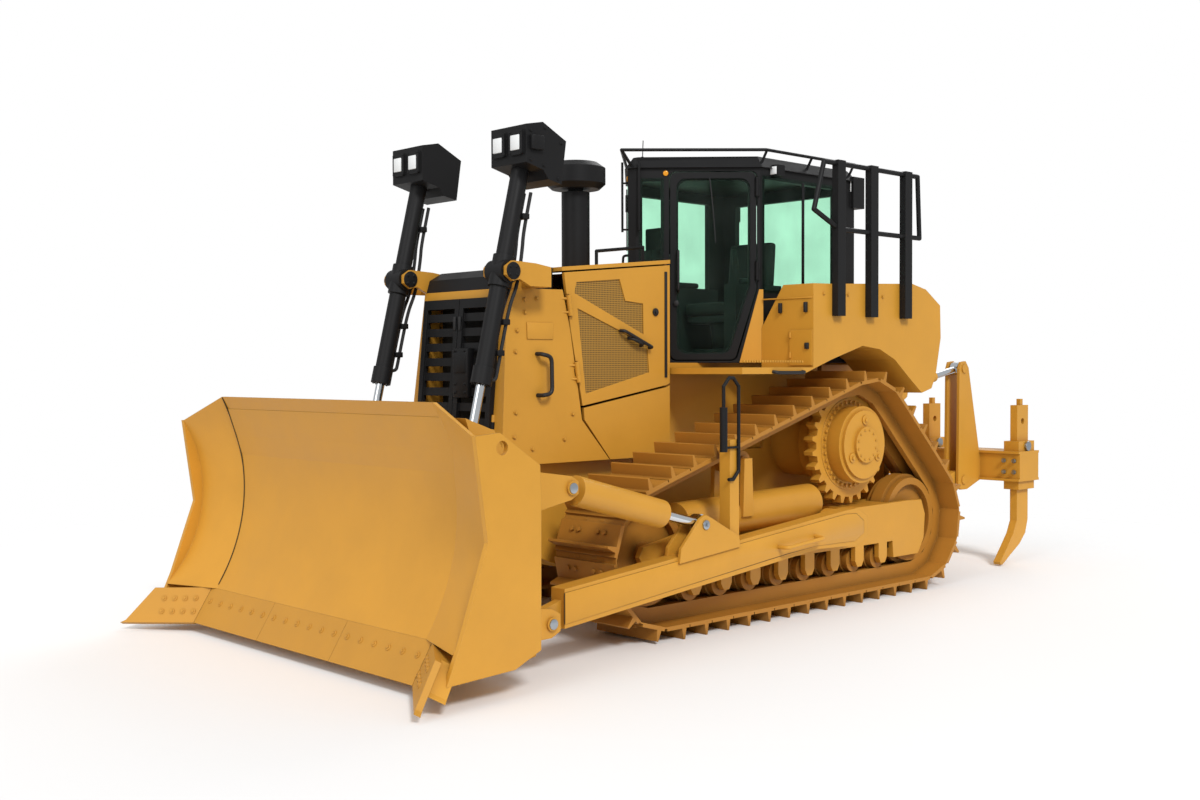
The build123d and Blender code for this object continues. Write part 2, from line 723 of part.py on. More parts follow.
window_low = cab_door_kick_z
window_high = cab_roof_z - 90
side_window = ((-1185, window_low), (-225, window_low), (-225, window_high),
               (-1185, window_high))
rear_window_half = 560.0
rear_window_z = (window_low + 70, window_high - 20)
quarter_window = (55.0, 205.0)
quarter_window_z = (window_low + 170, window_high - 20)
door_window_rim = 75.0
door_corner = 55.0          # radius of a cab door's corners
window_corner = 80.0


def quarter_outline(overlap):
    """The quarter window on the slanting face, widened by overlap."""
    (x0, x1), (z0, z1) = quarter_window, quarter_window_z
    return ((x0 - overlap, z0 - overlap), (x1 + overlap, z0 - overlap),
            (x1 + overlap, z1 + overlap), (x0 - overlap, z1 + overlap))

roof_rail_z = 3700.0
roof_rail_radius = 13.0
roof_rail_y = 800.0
roof_rail = ((-1400, roof_rail_y), (-200, roof_rail_y), (660, 0), (-200, -roof_rail_y),
             (-1400, -roof_rail_y))
# lamp boxes under the roof's edge: x range, distance of y from the middle, z range
LAMP_BOXES = (((-400, -305), (750, 830), (3498, 3590)),
              ((-1560, -1400), (640, 790), (3330, 3600)))

with BuildPart() as cab_frame:
    with BuildSketch(Plane.XY.offset(cab_floor_z)):
        Polygon(*cab_plan(0), align=None)
    extrude(amount=cab_roof_z - cab_floor_z)
    with BuildSketch(Plane.XY.offset(cab_floor_z + 60)):
        Polygon(*cab_plan(cab_wall), align=None)
    extrude(amount=cab_roof_z - cab_floor_z - 60, mode=Mode.SUBTRACT)
    with BuildSketch(Plane.XY.offset(cab_roof_z)):
        Polygon(*cab_plan(-25), align=None)
    with BuildSketch(Plane.XY.offset(cab_roof_z + roof_thickness)):
        Polygon(*cab_plan(45), align=None)
    loft()
    for (x0, y0), (x1, y1) in zip(roof_rail, roof_rail[1:]):
        bar((x0, y0, roof_rail_z), (x1, y1, roof_rail_z), roof_rail_radius)
    for x, y in roof_rail:
        with Locations((x, y, roof_rail_z)):
            Sphere(roof_rail_radius)
    bar((660, 0, roof_rail_z), (cab_nose_x, 0, cab_roof_z + 20), roof_rail_radius)
    for side in (1, -1):
        for x in (-1390, -800, -210):
            bar((x, side * roof_rail_y, roof_rail_z), (x, side * (cab_half - 30), cab_roof_z + 20),
                roof_rail_radius - 2)
    prism(side_window, 0, 2 * cab_half + 200, Mode.SUBTRACT)
    block((cab_rear_x - 50, cab_rear_x + 100), (-rear_window_half, rear_window_half),
          rear_window_z, Mode.SUBTRACT)
    for side in (1, -1):
        with BuildSketch(slant_plane(side, -20)):
            door_face(side, 0, door_corner)
            Polygon(*[(side * x, z) for x, z in quarter_outline(0)], align=None)
        extrude(amount=-(cab_wall + 40), mode=Mode.SUBTRACT)
        for z in cab_hinge_heights:
            knuckles(cab_hinge(side, z), Vector(0, 0, 1), cab_hinge_radius)
        for x_range, y_range, z_range in LAMP_BOXES:
            block(x_range, spread(y_range, side), z_range)
cab_frame.part.label = "cab_frame"
export_step(cab_frame.part, "parts/cab_frame.step")

with BuildPart() as cab_glass:
    z0, z1 = rear_window_z
    overlap = 25.0
    block((cab_rear_x - glass_thickness, cab_rear_x),
          (-rear_window_half - overlap, rear_window_half + overlap), (z0 - overlap, z1 + overlap))
    for side in (1, -1):
        (x0, low), (x1, _), (_, high), _ = side_window
        block((x0 - overlap, x1 + overlap), spread((cab_half, cab_half + glass_thickness), side),
              (low - overlap, high + overlap))
        with BuildSketch(slant_plane(side)):
            Polygon(*[(side * x, z) for x, z in quarter_outline(overlap)], align=None)
        extrude(amount=glass_thickness)
cab_glass.part.label = "cab_glass"
export_step(cab_glass.part, "parts/cab_glass.step")

pane_pocket = glass_thickness + 4
for name, side in SIDES:
    with BuildPart() as cab_door:
        with BuildSketch(slant_plane(side)):
            door_face(side, door_gap, door_corner)
            door_face(side, door_window_rim, window_corner, Mode.SUBTRACT)
        extrude(amount=-cab_wall)
        with BuildSketch(slant_plane(side)):
            door_face(side, door_window_rim - 15, window_corner)
        extrude(amount=-pane_pocket, mode=Mode.SUBTRACT)
        for z in cab_hinge_heights:
            sleeve(cab_hinge(side, z), Vector(0, 0, 1), cab_hinge_radius)
    cab_door.part.label = f"cab_door_{name}"
    export_step(cab_door.part, f"parts/cab_door_{name}.step")
    with BuildPart() as cab_door_glass:
        with BuildSketch(slant_plane(side, pane_pocket)):
            door_face(side, door_window_rim - 15 + seat_gap, window_corner)
        extrude(amount=glass_thickness)
    cab_door_glass.part.label = f"cab_door_glass_{name}"
    export_step(cab_door_glass.part, f"parts/cab_door_glass_{name}.step")

# ---- seat and controls ------------------------------------------------------------------------
cab_inner_floor = cab_floor_z + 60
with BuildPart() as seat:
    block((-900, -380), (-250, 250), (cab_inner_floor, 2380))
    block((-940, -340), (-270, 270), (2380, 2510))
    block((-1040, -900), (-260, 260), (2420, 3060))
seat.part.label = "seat"
export_step(seat.part, "parts/seat.step")

with BuildPart() as console:
    for side in (1, -1):
        block((-850, -250), spread((300, 430), side), (cab_inner_floor, 2640))
        block((-350, -300), spread((345, 385), side), (2640, 2800))
    block((200, 400), (-90, 90), (cab_inner_floor, 2900))
console.part.label = "console"
export_step(console.part, "parts/console.step")

# ---- fenders and rear tank ----------------------------------------------------------------------
tank_rear = ((-1687, 1714), (-1837, 1751), (-1901, 1861), (-1980, 2192), (-1969, 2474),
             (-1745, 2606), (-1534, 2647))
fender_side = ((-51, 1884), (-406, 1997), (-824, 2110), (-1065, 2085), (-1281, 2000),
               (-1486, 1852)) + tank_rear + ((-383, fender_top + 5), (fender_front, fender_top),
               (fender_front, deck_z), (-51, deck_z))
gutter_slope = (986 - fender_inner) / (2571 - gutter_low)
service_door = ((1068.0, fender_outer - 8), (1950.0, 2232.0))
corner_plate = ((cab_door_kick + 25, cab_floor_z), (cab_door_end + 12, cab_door_kick_z),
                (1036, cab_door_kick_z), (1036, cab_floor_z))
tank_side = ((-1460, tank_low), (-1860, tank_low)) + tank_rear[3:] + ((-1460, 2645),)

for name, side in SIDES:
    with BuildPart() as fender:
        prism(fender_side, side * (fender_inner + fender_outer) / 2, fender_outer - fender_inner)
        block((-60, deck_front - 15), spread((420, fender_outer), side),
              (deck_z - deck_thickness, deck_z))
        gutter_high = fender_top + 150
        with BuildSketch(Plane(origin=(cab_rear_x - 25, 0, 0), x_dir=(0, 1, 0), z_dir=(1, 0, 0))):
            Polygon((side * (fender_inner - 10), gutter_low),
                    (side * (fender_inner + gutter_slope * (gutter_high - gutter_low)),
                     gutter_high), (side * (fender_inner - 10), gutter_high), align=None)
        extrude(amount=fender_front - cab_rear_x + 30, mode=Mode.SUBTRACT)
        block((fender_front - 5, fender_front + 10), spread(service_door[0], side),
              service_door[1])
        with BuildSketch(slant_plane(side, -1)):
            Polygon(*[(side * x, z) for x, z in corner_plate], align=None)
        extrude(amount=8)
    fender.part.label = f"fender_{name}"
    export_step(fender.part, f"parts/fender_{name}.step")

with BuildPart() as fuel_tank:
    prism(tank_side, 0, 2 * fender_inner)
fuel_tank.part.label = "fuel_tank"
export_step(fuel_tank.part, "parts/fuel_tank.step")

# ---- guard rails beside the tank, and the rail on the hood ----------------------------------------
post_y = fender_outer + 30.0
post_low = 2345.0
post_high = 3580.0
post_stations = (-460.0, -907.0, -1396.0)
rail_radius = 20.0
rail_low_z = 3035.0
rail_high_z = 3555.0
rail_front_x = -263.0
rail_knee = (-136.0, 3169.0)
rail_rear_x = post_stations[-1] - 170
hood_rail_y = 300.0
hood_rail_radius = 13.0


def hood_top(x):
    """Height of the hood's upper face."""
    share = (hood_front - x) / (hood_front - hood_rear)
    return hood_top_front + (hood_top_rear - hood_top_front) * share


hood_rail = ((1225, hood_top(1225) + 2), (1225, 2830), (hood_rear + 30, 2890),
             (hood_rear + 30, hood_top(hood_rear + 30) + 2))


def bent_bar(points, radius):
    """Adds round bars along a run of points with ball corners."""
    for start, end in zip(points, points[1:]):
        bar(start, end, radius)
    for point in points[1:-1]:
        with Locations(point):
            Sphere(radius)


with BuildPart() as guard_rails:
    for x in post_stations:
        block((x - 50, x + 50), (fender_outer, fender_outer + 60), (post_low, post_high))
    bent_bar([(x, post_y, z) for x, z in (
        (post_stations[0], rail_low_z), rail_knee, (rail_front_x, rail_high_z),
        (rail_rear_x, rail_high_z), (rail_rear_x - 30, rail_low_z),
        (post_stations[0], rail_low_z))], rail_radius)
    bent_bar([(x, hood_rail_y, z) for x, z in hood_rail], hood_rail_radius)
guard_rails.part.label = "guard_rails"
export_step(guard_rails.part, "parts/guard_rails.step")

# ---- push arms --------------------------------------------------------------------------------
eye_half = 30.0
ball_radius = 52.0
arm_front = 2600.0
arm_low = 270.0
arm_high = 524.0
bracket_gap = 50.0          # from the middle of the brace to the faces of its lugs
brace_pin_radius = 30.0
brace_ball_radius = 48.0
lug_plate = 25.0
arm_post = (885.0, 985.0)
arm_post_top = 1415.0
arm_post_half = 50.0


def arm_top(x):
    """Height of the arm's upper face."""
    return arm_high + (805 - arm_high) * (arm_front - x) / (arm_front + 400)


arm_side = ((arm_front, arm_low), (arm_front, arm_high), (-400, 805), (-535, 810), (-680, 740),
            (-680, 580), (-535, 515), (-39, 532), (300, 500))
arm_nose = ((arm_front - 60, arm_low + 10), (arm_front - 60, arm_high - 60), (ball_x, ball_z + 95),
            (ball_x + 70, ball_z + 70), (ball_x + 95, ball_z), (ball_x + 70, ball_z - 70),
            (ball_x, ball_z - 95))

for name, side in SIDES:
    with BuildPart() as push_arm:
        prism(arm_side, side * arm_y, arm_width)
        prism(arm_nose, side * arm_y, 2 * eye_half)
        for row in (-1, 1):
            y = side * (brace_rear_y + row * (bracket_gap + lug_plate / 2))
            prism(((1555, arm_top(1555) - 40), (1540, arm_top(1555) + 60),
                   (brace_rear_x + 55, brace_rear_z + 45), (brace_rear_x, brace_rear_z + 70),
                   (brace_rear_x - 60, brace_rear_z + 45), (930, arm_top(930) + 40),
                   (915, arm_top(915) - 40)), y, lug_plate)
        drum(pivot_x, pivot_z, trunnion_radius + pin_clearance, side * arm_y, 2 * arm_width,
             Mode.SUBTRACT)
        drum(ball_x, ball_z, ball_radius, side * arm_y, arm_width, Mode.SUBTRACT)
        block(arm_post, spread((arm_y - arm_post_half, arm_y + arm_post_half), side),
              (arm_top(arm_post[0]) - 30, arm_post_top))
        drum(brace_rear_x, brace_rear_z, brace_pin_radius, side * brace_rear_y, 2 * bracket_gap)
        if name == "right":
            with Locations((brace_rear_x, side * brace_rear_y, brace_rear_z)):
                Sphere(brace_ball_radius)
    push_arm.part.label = f"push_arm_{name}"
    export_step(push_arm.part, f"parts/push_arm_{name}.step")

# ---- step handles on the push arms' posts ---------------------------------------------------------
handle_radius = 13.0
handle_x = (905.0, 1069.0)
handle_low = 1130.0
handle_top = 1860.0

for name, side in SIDES:
    with BuildPart() as arm_handle:
        y = side * (arm_y + arm_post_half + handle_radius + seat_gap)
        bent_bar([(x, y, z) for x, z in (
            (handle_x[1], handle_low + 260), (handle_x[1], handle_top - 60),
            (handle_x[1] - 60, handle_top), (handle_x[0] + 60, handle_top),
            (handle_x[0], handle_top - 60), (handle_x[0], handle_low + 60),
            (handle_x[0] + 60, handle_low), (arm_post[1] + 30, handle_low))], handle_radius)
        bar((handle_x[1], y, handle_low + 200), (handle_x[1], y, handle_low + 520), 28)
        bar((handle_x[1], y, handle_low + 230), (handle_x[0], y, handle_low + 230), 9)
    arm_handle.part.label = f"arm_handle_{name}"
    export_step(arm_handle.part, f"parts/arm_handle_{name}.step")

# ---- blade --------------------------------------------------------------------------------------
# the bolted cutting edge: front face from its top to its foot
edge_top = (3573.0, 318.0)
edge_foot = (3723.0, edge_bottom)
edge_thickness = 35.0
edge_half = blade_half - 437
edge_count = 3
edge_gap = 4.0
edge_run = (edge_foot[0] - edge_top[0], edge_foot[1] - edge_top[1])
edge_size = math.hypot(*edge_run)
edge_back = (edge_run[1] / edge_size * edge_thickness, -edge_run[0] / edge_size * edge_thickness)
edge_side = (edge_top, edge_foot, (edge_foot[0] + edge_back[0], edge_foot[1] + edge_back[1] + 30),
             (edge_top[0] + edge_back[0], edge_top[1] + edge_back[1]))

# moldboard sections: y, top, middle and foot of the front face
CENTRE_SECTION = ((3515.0, 1730.0), (3340.0, 985.0), edge_top)
END_SECTION = ((3588.0, 1546.0), (3440.0, 930.0), (3735.0, 318.0))
plate_half = blade_half - 35.0
back_x = 3110.0
pocket_floor = 3295.0       # pressed-in panels between the ribs at the back


# the end bits lie in a slanting plane through the cutting edge's end and the bit's tip
bit_foot = Vector(edge_foot[0], edge_half + 3, edge_foot[1])
bit_top = Vector(edge_top[0], edge_half + 3, edge_top[1])
bit_tip = Vector(4061.0, blade_half + 53, 57.0)
bit_thickness = 40.0


def bit_sketch(side, depth, low, reach):
    """The end bit's outline on its plane, depth behind its face.

    The outline starts low above the foot and runs reach of the way to the tip.
    """
    foot, top, tip = [Vector(v.X, side * v.Y, v.Z) for v in (bit_foot, bit_top, bit_tip)]
    along = (tip - foot).normalized()
    normal = along.cross(top - foot).normalized()
    up = normal.cross(along)
    lean = (top - foot).dot(along)
    rise = (top - foot).dot(up)
    length = (tip - foot).length
    start = lean * low / rise
    plane = Plane(origin=foot, x_dir=along, z_dir=normal).offset(-side * depth)
    with BuildSketch(plane, mode=Mode.PRIVATE) as outline:
        Polygon((start, low), (length * reach, low), (length * 0.93 * reach, low + 20),
                (length * 0.62 * reach, rise), (lean, rise), align=None)
    return outline.sketch


def sheet_section(y, section):
    """Sketch of the curved sheet, blade_skin thick, at a station of y."""
    top, middle, foot = section
    behind = [(x - blade_skin, z) for x, z in (foot, middle, top)]
    with BuildSketch(side_plane(y), mode=Mode.PRIVATE) as sheet:
        with BuildLine():
            ThreePointArc(top, middle, foot)
            Line(foot, behind[0])
            ThreePointArc(*behind)
            Line(behind[2], top)
        make_face()
    return sheet.sketch


def lug(points, y, gap, plate):
    """Two plates with an (x, z) outline, gap either side of y."""
    for row in (-1, 1):
        prism(points, y + row * (gap + plate / 2), plate)


back_side = ((3470, 1640), (3250, 1560), (3130, 1330), (back_x, 480), (back_x, 220), (3380, 170),
             (3520, 330), (3400, 480), (3335, 700), (3315, 985), (3340, 1240), (3400, 1440))
end_plate = ((3588, 1546), (3405, 1560), (3103, 1360), (3095, 1150), (3100, 260), (3301, 173),
             (3800, 150), (3688, 403), (3500, 930))
lip_foot = (edge_top[0] + 0.55 * edge_run[0] + edge_back[0],
            edge_top[1] + 0.55 * edge_run[1] + edge_back[1])
lip = ((3480, edge_top[1] + 27), (edge_top[0] - 23, edge_top[1] + 27),
       (edge_top[0] - 23, edge_top[1]), edge_side[3], lip_foot,
       (3560, 150), (3380, 150))
low_beam = ((back_x, 220), (back_x, 480), (3400, 480), (3500, 330), (3380, 170))
upper_lug = ((3160, 1330), (brace_front_x, brace_front_z + 75), (brace_front_x - 60,
             brace_front_z + 40), (brace_front_x - 60, brace_front_z - 40),
             (brace_front_x, brace_front_z - 75), (3160, 1010))
lower_lug = ((3160, 470), (ball_x, ball_z + 95), (ball_x - 75, ball_z + 55),
             (ball_x - 75, ball_z - 55), (ball_x, ball_z - 90), (3160, 225))
lift_lug = ((pocket_floor + 10, 870), (lift_eye_x, lift_eye_z + 80), (lift_eye_x - 70, lift_eye_z + 40),
            (lift_eye_x - 70, lift_eye_z - 40), (lift_eye_x, lift_eye_z - 80),
            (pocket_floor + 10, 550))
ball_gap = 52.0
brace_lug_gap = 60.0
lift_lug_gap = 100.0
rib_stations = (0.0, 330.0, 840.0, 1190.0)
pocket_heights = ((540.0, 880.0), (990.0, 1390.0))

with BuildPart() as blade:
    extrude(sheet_section(0, CENTRE_SECTION), amount=wing_seam, both=True)
    prism(back_side, 0, 2 * 1560)
    prism(low_beam, 0, 2 * plate_half)
    prism(lip, 0, 2 * edge_half)
    for side in (1, -1):
        loft([sheet_section(side * (wing_seam - 1), CENTRE_SECTION),
              sheet_section(side * plate_half, END_SECTION)], ruled=True)
        prism(end_plate, side * (blade_half + plate_half) / 2, blade_half - plate_half)
        extrude(bit_sketch(side, bit_thickness, 90, 0.8), amount=-side * 110)
        drum(3391, 1472, 42, side * blade_half, 100, Mode.SUBTRACT)
        for low, high in pocket_heights:
            for inner, outer in zip(rib_stations, rib_stations[1:]):
                block((back_x - 10, pocket_floor), spread((inner + 25, outer - 25), side),
                      (low, high), Mode.SUBTRACT)
        lug(lower_lug, side * arm_y, ball_gap, 28)
        lug(upper_lug, side * brace_front_y, brace_lug_gap, 28)
        lug(lift_lug, side * lift_y, lift_lug_gap, 25)
        drum(ball_x, ball_z, 36, side * arm_y, 2 * ball_gap)
        drum(brace_front_x, brace_front_z, brace_pin_radius, side * brace_front_y,
             2 * brace_lug_gap)
        for z, x, y in ((ball_z, ball_x, arm_y + ball_gap + 28),
                        (brace_front_z, brace_front_x, brace_front_y + brace_lug_gap + 28)):
            drum(x, z, 44, side * (y + 8), 20)
    with Locations((ball_x, -arm_y, ball_z)):
        Sphere(ball_radius - seat_gap)
    with Locations((brace_front_x, brace_front_y, brace_front_z)):
        Sphere(brace_ball_radius)
blade.part.label = "blade"
export_step(blade.part, "parts/blade.step")

# ---- cutting edges and end bits -----------------------------------------------------------------
with BuildPart() as cutting_edges:
    width = 2 * edge_half / edge_count
    for index in range(edge_count):
        middle = -edge_half + width * (index + 0.5)
        prism(edge_side, middle, width - edge_gap)
cutting_edges.part.label = "cutting_edges"
export_step(cutting_edges.part, "parts/cutting_edges.step")

with BuildPart() as end_bits:
    for side in (1, -1):
        extrude(bit_sketch(side, 0, 0, 1), amount=-side * bit_thickness)
end_bits.part.label = "end_bits"
export_step(end_bits.part, "parts/end_bits.step")

# ---- tilt cylinder (left) and brace (right) -----------------------------------------------------
brace_eye_radius = 72.0
brace_eye_half = 32.0
tilt_rod_radius = 38.0
tilt_barrel_share = 0.7     # of the distance between the pins, from the blade's end


def brace_ends(side):
    """Centres of the brace's rear and front eyes."""
    rear = Vector(brace_rear_x, side * brace_rear_y, brace_rear_z)
    front = Vector(brace_front_x, side * brace_front_y, brace_front_z)
    return rear, front


def between(start, end, share):
    """The point a share of the way from start to end."""
    return tuple(start + (end - start) * share)


def socket(centre):
    """Clears a spherical seat round a brace ball and room for the ball's pin."""
    with Locations(tuple(centre)):
        Sphere(brace_ball_radius + seat_gap, mode=Mode.SUBTRACT)
    drum(centre.X, centre.Z, brace_pin_radius + hinge_clearance, centre.Y, 4 * brace_eye_half,
         Mode.SUBTRACT)


open_eye_radius = 46.0      # bore of an eye that stands open round its pin

rear, front = brace_ends(1)
with BuildPart() as tilt_cylinder_barrel:
    drum(front.X, front.Z, brace_eye_radius, front.Y, 2 * brace_eye_half)
    bar(between(front, rear, 0.0), between(front, rear, 0.11), 40)
    bar(between(front, rear, 0.08), between(front, rear, tilt_barrel_share), brace_radius)
    bar(between(front, rear, 0.3), between(front, rear, tilt_barrel_share + 0.01),
        tilt_rod_radius + seat_gap, Mode.SUBTRACT)
    socket(front)
tilt_cylinder_barrel.part.label = "tilt_cylinder_barrel"
export_step(tilt_cylinder_barrel.part, "parts/tilt_cylinder_barrel.step")

with BuildPart() as tilt_cylinder_rod:
    drum(rear.X, rear.Z, brace_eye_radius, rear.Y, 2 * brace_eye_half)
    bar(between(rear, front, 0.0), between(rear, front, 0.62), tilt_rod_radius)
    drum(rear.X, rear.Z, open_eye_radius, rear.Y, 4 * brace_eye_half, Mode.SUBTRACT)
tilt_cylinder_rod.part.label = "tilt_cylinder_rod"
export_step(tilt_cylinder_rod.part, "parts/tilt_cylinder_rod.step")

rear, front = brace_ends(-1)
with BuildPart() as brace_right:
    for end in (rear, front):
        drum(end.X, end.Z, brace_eye_radius, end.Y, 2 * brace_eye_half)
    bar(between(rear, front, 0.0), between(rear, front, 1.0), 40)
    bar(between(rear, front, 0.24), between(rear, front, 0.92), brace_radius)
    bar(between(rear, front, 0.08), between(rear, front, 0.25), tilt_rod_radius + 6)
    drum(front.X, front.Z, open_eye_radius, front.Y, 4 * brace_eye_half, Mode.SUBTRACT)
    socket(rear)
brace_right.part.label = "brace_right"
export_step(brace_right.part, "parts/brace_right.step")

# ---- lift cylinders -----------------------------------------------------------------------------
lift_axis = Vector(lift_eye_x - lift_trunnion_x, 0, lift_eye_z - lift_trunnion_z)
lift_reach = lift_axis.length
lift_dir = lift_axis.normalized()
lift_head = 785.0           # barrel above the trunnion
lift_foot = 800.0           # barrel below the trunnion
lift_rod_end = 185.0        # rod's inner end below the trunnion, with the blade on the ground
gland_length = 120.0
yoke_pin_radius = 45.0
trunnion_block_radius = 82.0
lamp_width = 380.0


def lift_point(side, run):
    """The point on a lift cylinder's axis, run below its trunnion."""
    return tuple(Vector(lift_trunnion_x, side * lift_y, lift_trunnion_z) + lift_dir * run)


for name, side in SIDES:
    with BuildPart() as lift_barrel:
        bar(lift_point(side, -lift_head), lift_point(side, lift_foot), lift_barrel_radius)
        bar(lift_point(side, lift_foot - gland_length), lift_point(side, lift_foot),
            lift_barrel_radius + 12)
        bar(lift_point(side, -110), lift_point(side, 110), lift_barrel_radius + 16)
        drum(lift_trunnion_x, lift_trunnion_z, trunnion_block_radius, side * lift_y,
             2 * (yoke_half - hinge_clearance))
        drum(lift_trunnion_x, lift_trunnion_z, yoke_pin_radius, side * lift_y,
             2 * (yoke_half + yoke_plate))
        bar(lift_point(side, -lift_head + 60), lift_point(side, lift_foot + 1),
            lift_rod_radius + seat_gap, Mode.SUBTRACT)
    lift_barrel.part.label = f"lift_barrel_{name}"
    export_step(lift_barrel.part, f"parts/lift_barrel_{name}.step")
    with BuildPart() as lift_rod:
        bar(lift_point(side, lift_rod_end), lift_point(side, lift_reach), lift_rod_radius)
        drum(lift_eye_x, lift_eye_z, 60, side * lift_y, 70)
    lift_rod.part.label = f"lift_rod_{name}"
    export_step(lift_rod.part, f"parts/lift_rod_{name}.step")

# lamp housings on the cylinders' heads, in the cylinder's own side view
lamp_side = ((2340, 3340), (2340, 3600), (2190, 3630), (1975, 3520), (2020, 3215), (2140, 3240),
             (2185, 3300))
for name, side in SIDES:
    with BuildPart() as head_lamp:
        prism(lamp_side, side * lift_y, lamp_width)
        for row in (-1, 1):
            with BuildSketch(Plane(origin=(2335, side * lift_y + row * 95, 3480),
                                   x_dir=(0, 1, 0), z_dir=(1, 0, 0))):
                RectangleRounded(140, 170, 15)
            extrude(amount=25)
        bar(lift_point(side, -lift_head - 50), lift_point(side, lift_foot),
            lift_barrel_radius + seat_gap, Mode.SUBTRACT)
    head_lamp.part.label = f"head_lamp_{name}"
    export_step(head_lamp.part, f"parts/head_lamp_{name}.step")

# yokes on the guard's corners, which carry the trunnions
yoke_side = ((2060, guard_top), (2250, guard_top), (lift_trunnion_x - 60, lift_trunnion_z - 55),
             (lift_trunnion_x, lift_trunnion_z - 70), (lift_trunnion_x + 60, lift_trunnion_z - 30),
             (lift_trunnion_x + 60, lift_trunnion_z + 30), (lift_trunnion_x, lift_trunnion_z + 70),
             (2200, 2660), (2060, 2640))
with BuildPart() as lift_yokes:
    for side in (1, -1):
        for row in (-1, 1):
            prism(yoke_side, side * lift_y + row * (yoke_half + yoke_plate / 2), yoke_plate)
        block((2060, 2150), spread((lift_y - yoke_half - yoke_plate,
                                    lift_y + yoke_half + yoke_plate), side), (guard_top, 2640))
        drum(lift_trunnion_x, lift_trunnion_z, yoke_pin_radius + pin_clearance, side * lift_y,
             400, Mode.SUBTRACT)
lift_yokes.part.label = "lift_yokes"
export_step(lift_yokes.part, "parts/lift_yokes.step")

# ---- ripper -------------------------------------------------------------------------------------
link_side = ((link_front_x - 60, link_front_z + 75), (link_front_x + 40, link_front_z + 70),
             (link_front_x + 75, link_front_z), (link_front_x + 40, link_front_z - 70),
             (link_front_x - 60, link_front_z - 75), (tower_pin_x + 60, tower_low_z - 90),
             (tower_pin_x - 40, tower_low_z - 75), (tower_pin_x - 80, tower_low_z),
             (tower_pin_x - 40, tower_low_z + 75), (tower_pin_x + 60, tower_low_z + 90))

cross_tube_radius = 65.0    # joins the lower links, under the lift cylinders' pins
cross_tube_z = lift_lug_z - 137

with BuildPart() as ripper_links:
    for side in (1, -1):
        prism(link_side, side * ripper_y, link_thickness)
        for x, z in ((link_front_x, link_front_z), (tower_pin_x, tower_low_z)):
            drum(x, z, link_pin_radius + pin_clearance, side * ripper_y, 200, Mode.SUBTRACT)
        lug(((lift_lug_x - 90, cross_tube_z), (lift_lug_x + 70, cross_tube_z),
             (lift_lug_x + 60, lift_lug_z + 10), (lift_lug_x, lift_lug_z + 60),
             (lift_lug_x - 60, lift_lug_z + 10)), side * ripper_lift_y, 50, 20)
    drum(lift_lug_x - 10, cross_tube_z, cross_tube_radius, 0, 2 * ripper_y)
ripper_links.part.label = "ripper_links"
export_step(ripper_links.part, "parts/ripper_links.step")

tower_gap = link_thickness / 2 + 8
tower_plate = 28.0
tower_side = ((tower_pin_x + 95, tower_low_z - 60), (tower_pin_x + 95, tower_low_z + 60),
              (tower_pin_x + 80, tower_low_z + tower_height),
              (tower_pin_x + 50, tower_low_z + tower_height + 65),
              (tower_pin_x - 30, tower_low_z + tower_height + 75),
              (tower_pin_x - 85, tower_low_z + tower_height + 10),
              (beam_x + 200, 1110), (beam_x + 170, 1110), (beam_x + 170, 815),
              (tower_pin_x - 60, tower_low_z - 95),
              (tower_pin_x + 40, tower_low_z - 95))
beam_front = beam_x + beam_depth / 2
beam_back = beam_x - beam_depth / 2
slot_gap = 0.3

with BuildPart() as ripper_beam:
    block((beam_back, beam_front), (-beam_half, beam_half),
          (beam_z - beam_height / 2, beam_z + beam_height / 2))
    for z in (beam_z - beam_height / 2, beam_z + beam_height / 2):
        block((beam_back - 11, beam_front + 20), (-beam_half, beam_half), (z - 12, z + 12))
    for y in (-shank_spacing, 0, shank_spacing):
        block((beam_x - 150, beam_x + 150), (y - 80, y + 80),
              (beam_z - beam_height / 2 - 95, beam_z + beam_height / 2 + 110))
        block((beam_x - shank_width / 2 - slot_gap, beam_x + shank_width / 2 + slot_gap),
              (y - shank_thickness / 2 - slot_gap, y + shank_thickness / 2 + slot_gap),
              (0, 2000), Mode.SUBTRACT)
    for side in (1, -1):
        for row in (-1, 1):
            prism(tower_side, side * ripper_y + row * (tower_gap + tower_plate / 2), tower_plate)
        for z in (tower_low_z, tower_low_z + tower_height):
            drum(tower_pin_x, z, link_pin_radius, side * ripper_y, 2 * (tower_gap + tower_plate) + 24)
ripper_beam.part.label = "ripper_beam"
export_step(ripper_beam.part, "parts/ripper_beam.step")

shank_front = beam_x + shank_width / 2
shank_back = beam_x - shank_width / 2
shank_side = ((shank_front, 1559), (shank_front, 420), (beam_x + 170, 300), (beam_x + 300, 160),
              (beam_x + 415, 40), (beam_x + 408, 15), (beam_x + 370, 15), (beam_x + 210, 105),
              (beam_x + 50, 190), (beam_x - 60, 290), (shank_back, 420), (shank_back, 1559))
with BuildPart() as ripper_shanks:
    for y in (-shank_spacing, 0, shank_spacing):
        prism(shank_side, y, shank_thickness)
        block((beam_x - 30, beam_x + 20), (y - 20, y + 20), (1550, 1620))
        drum(beam_x, 1400, 30, y, 120, Mode.SUBTRACT)
ripper_shanks.part.label = "ripper_shanks"
export_step(ripper_shanks.part, "parts/ripper_shanks.step")

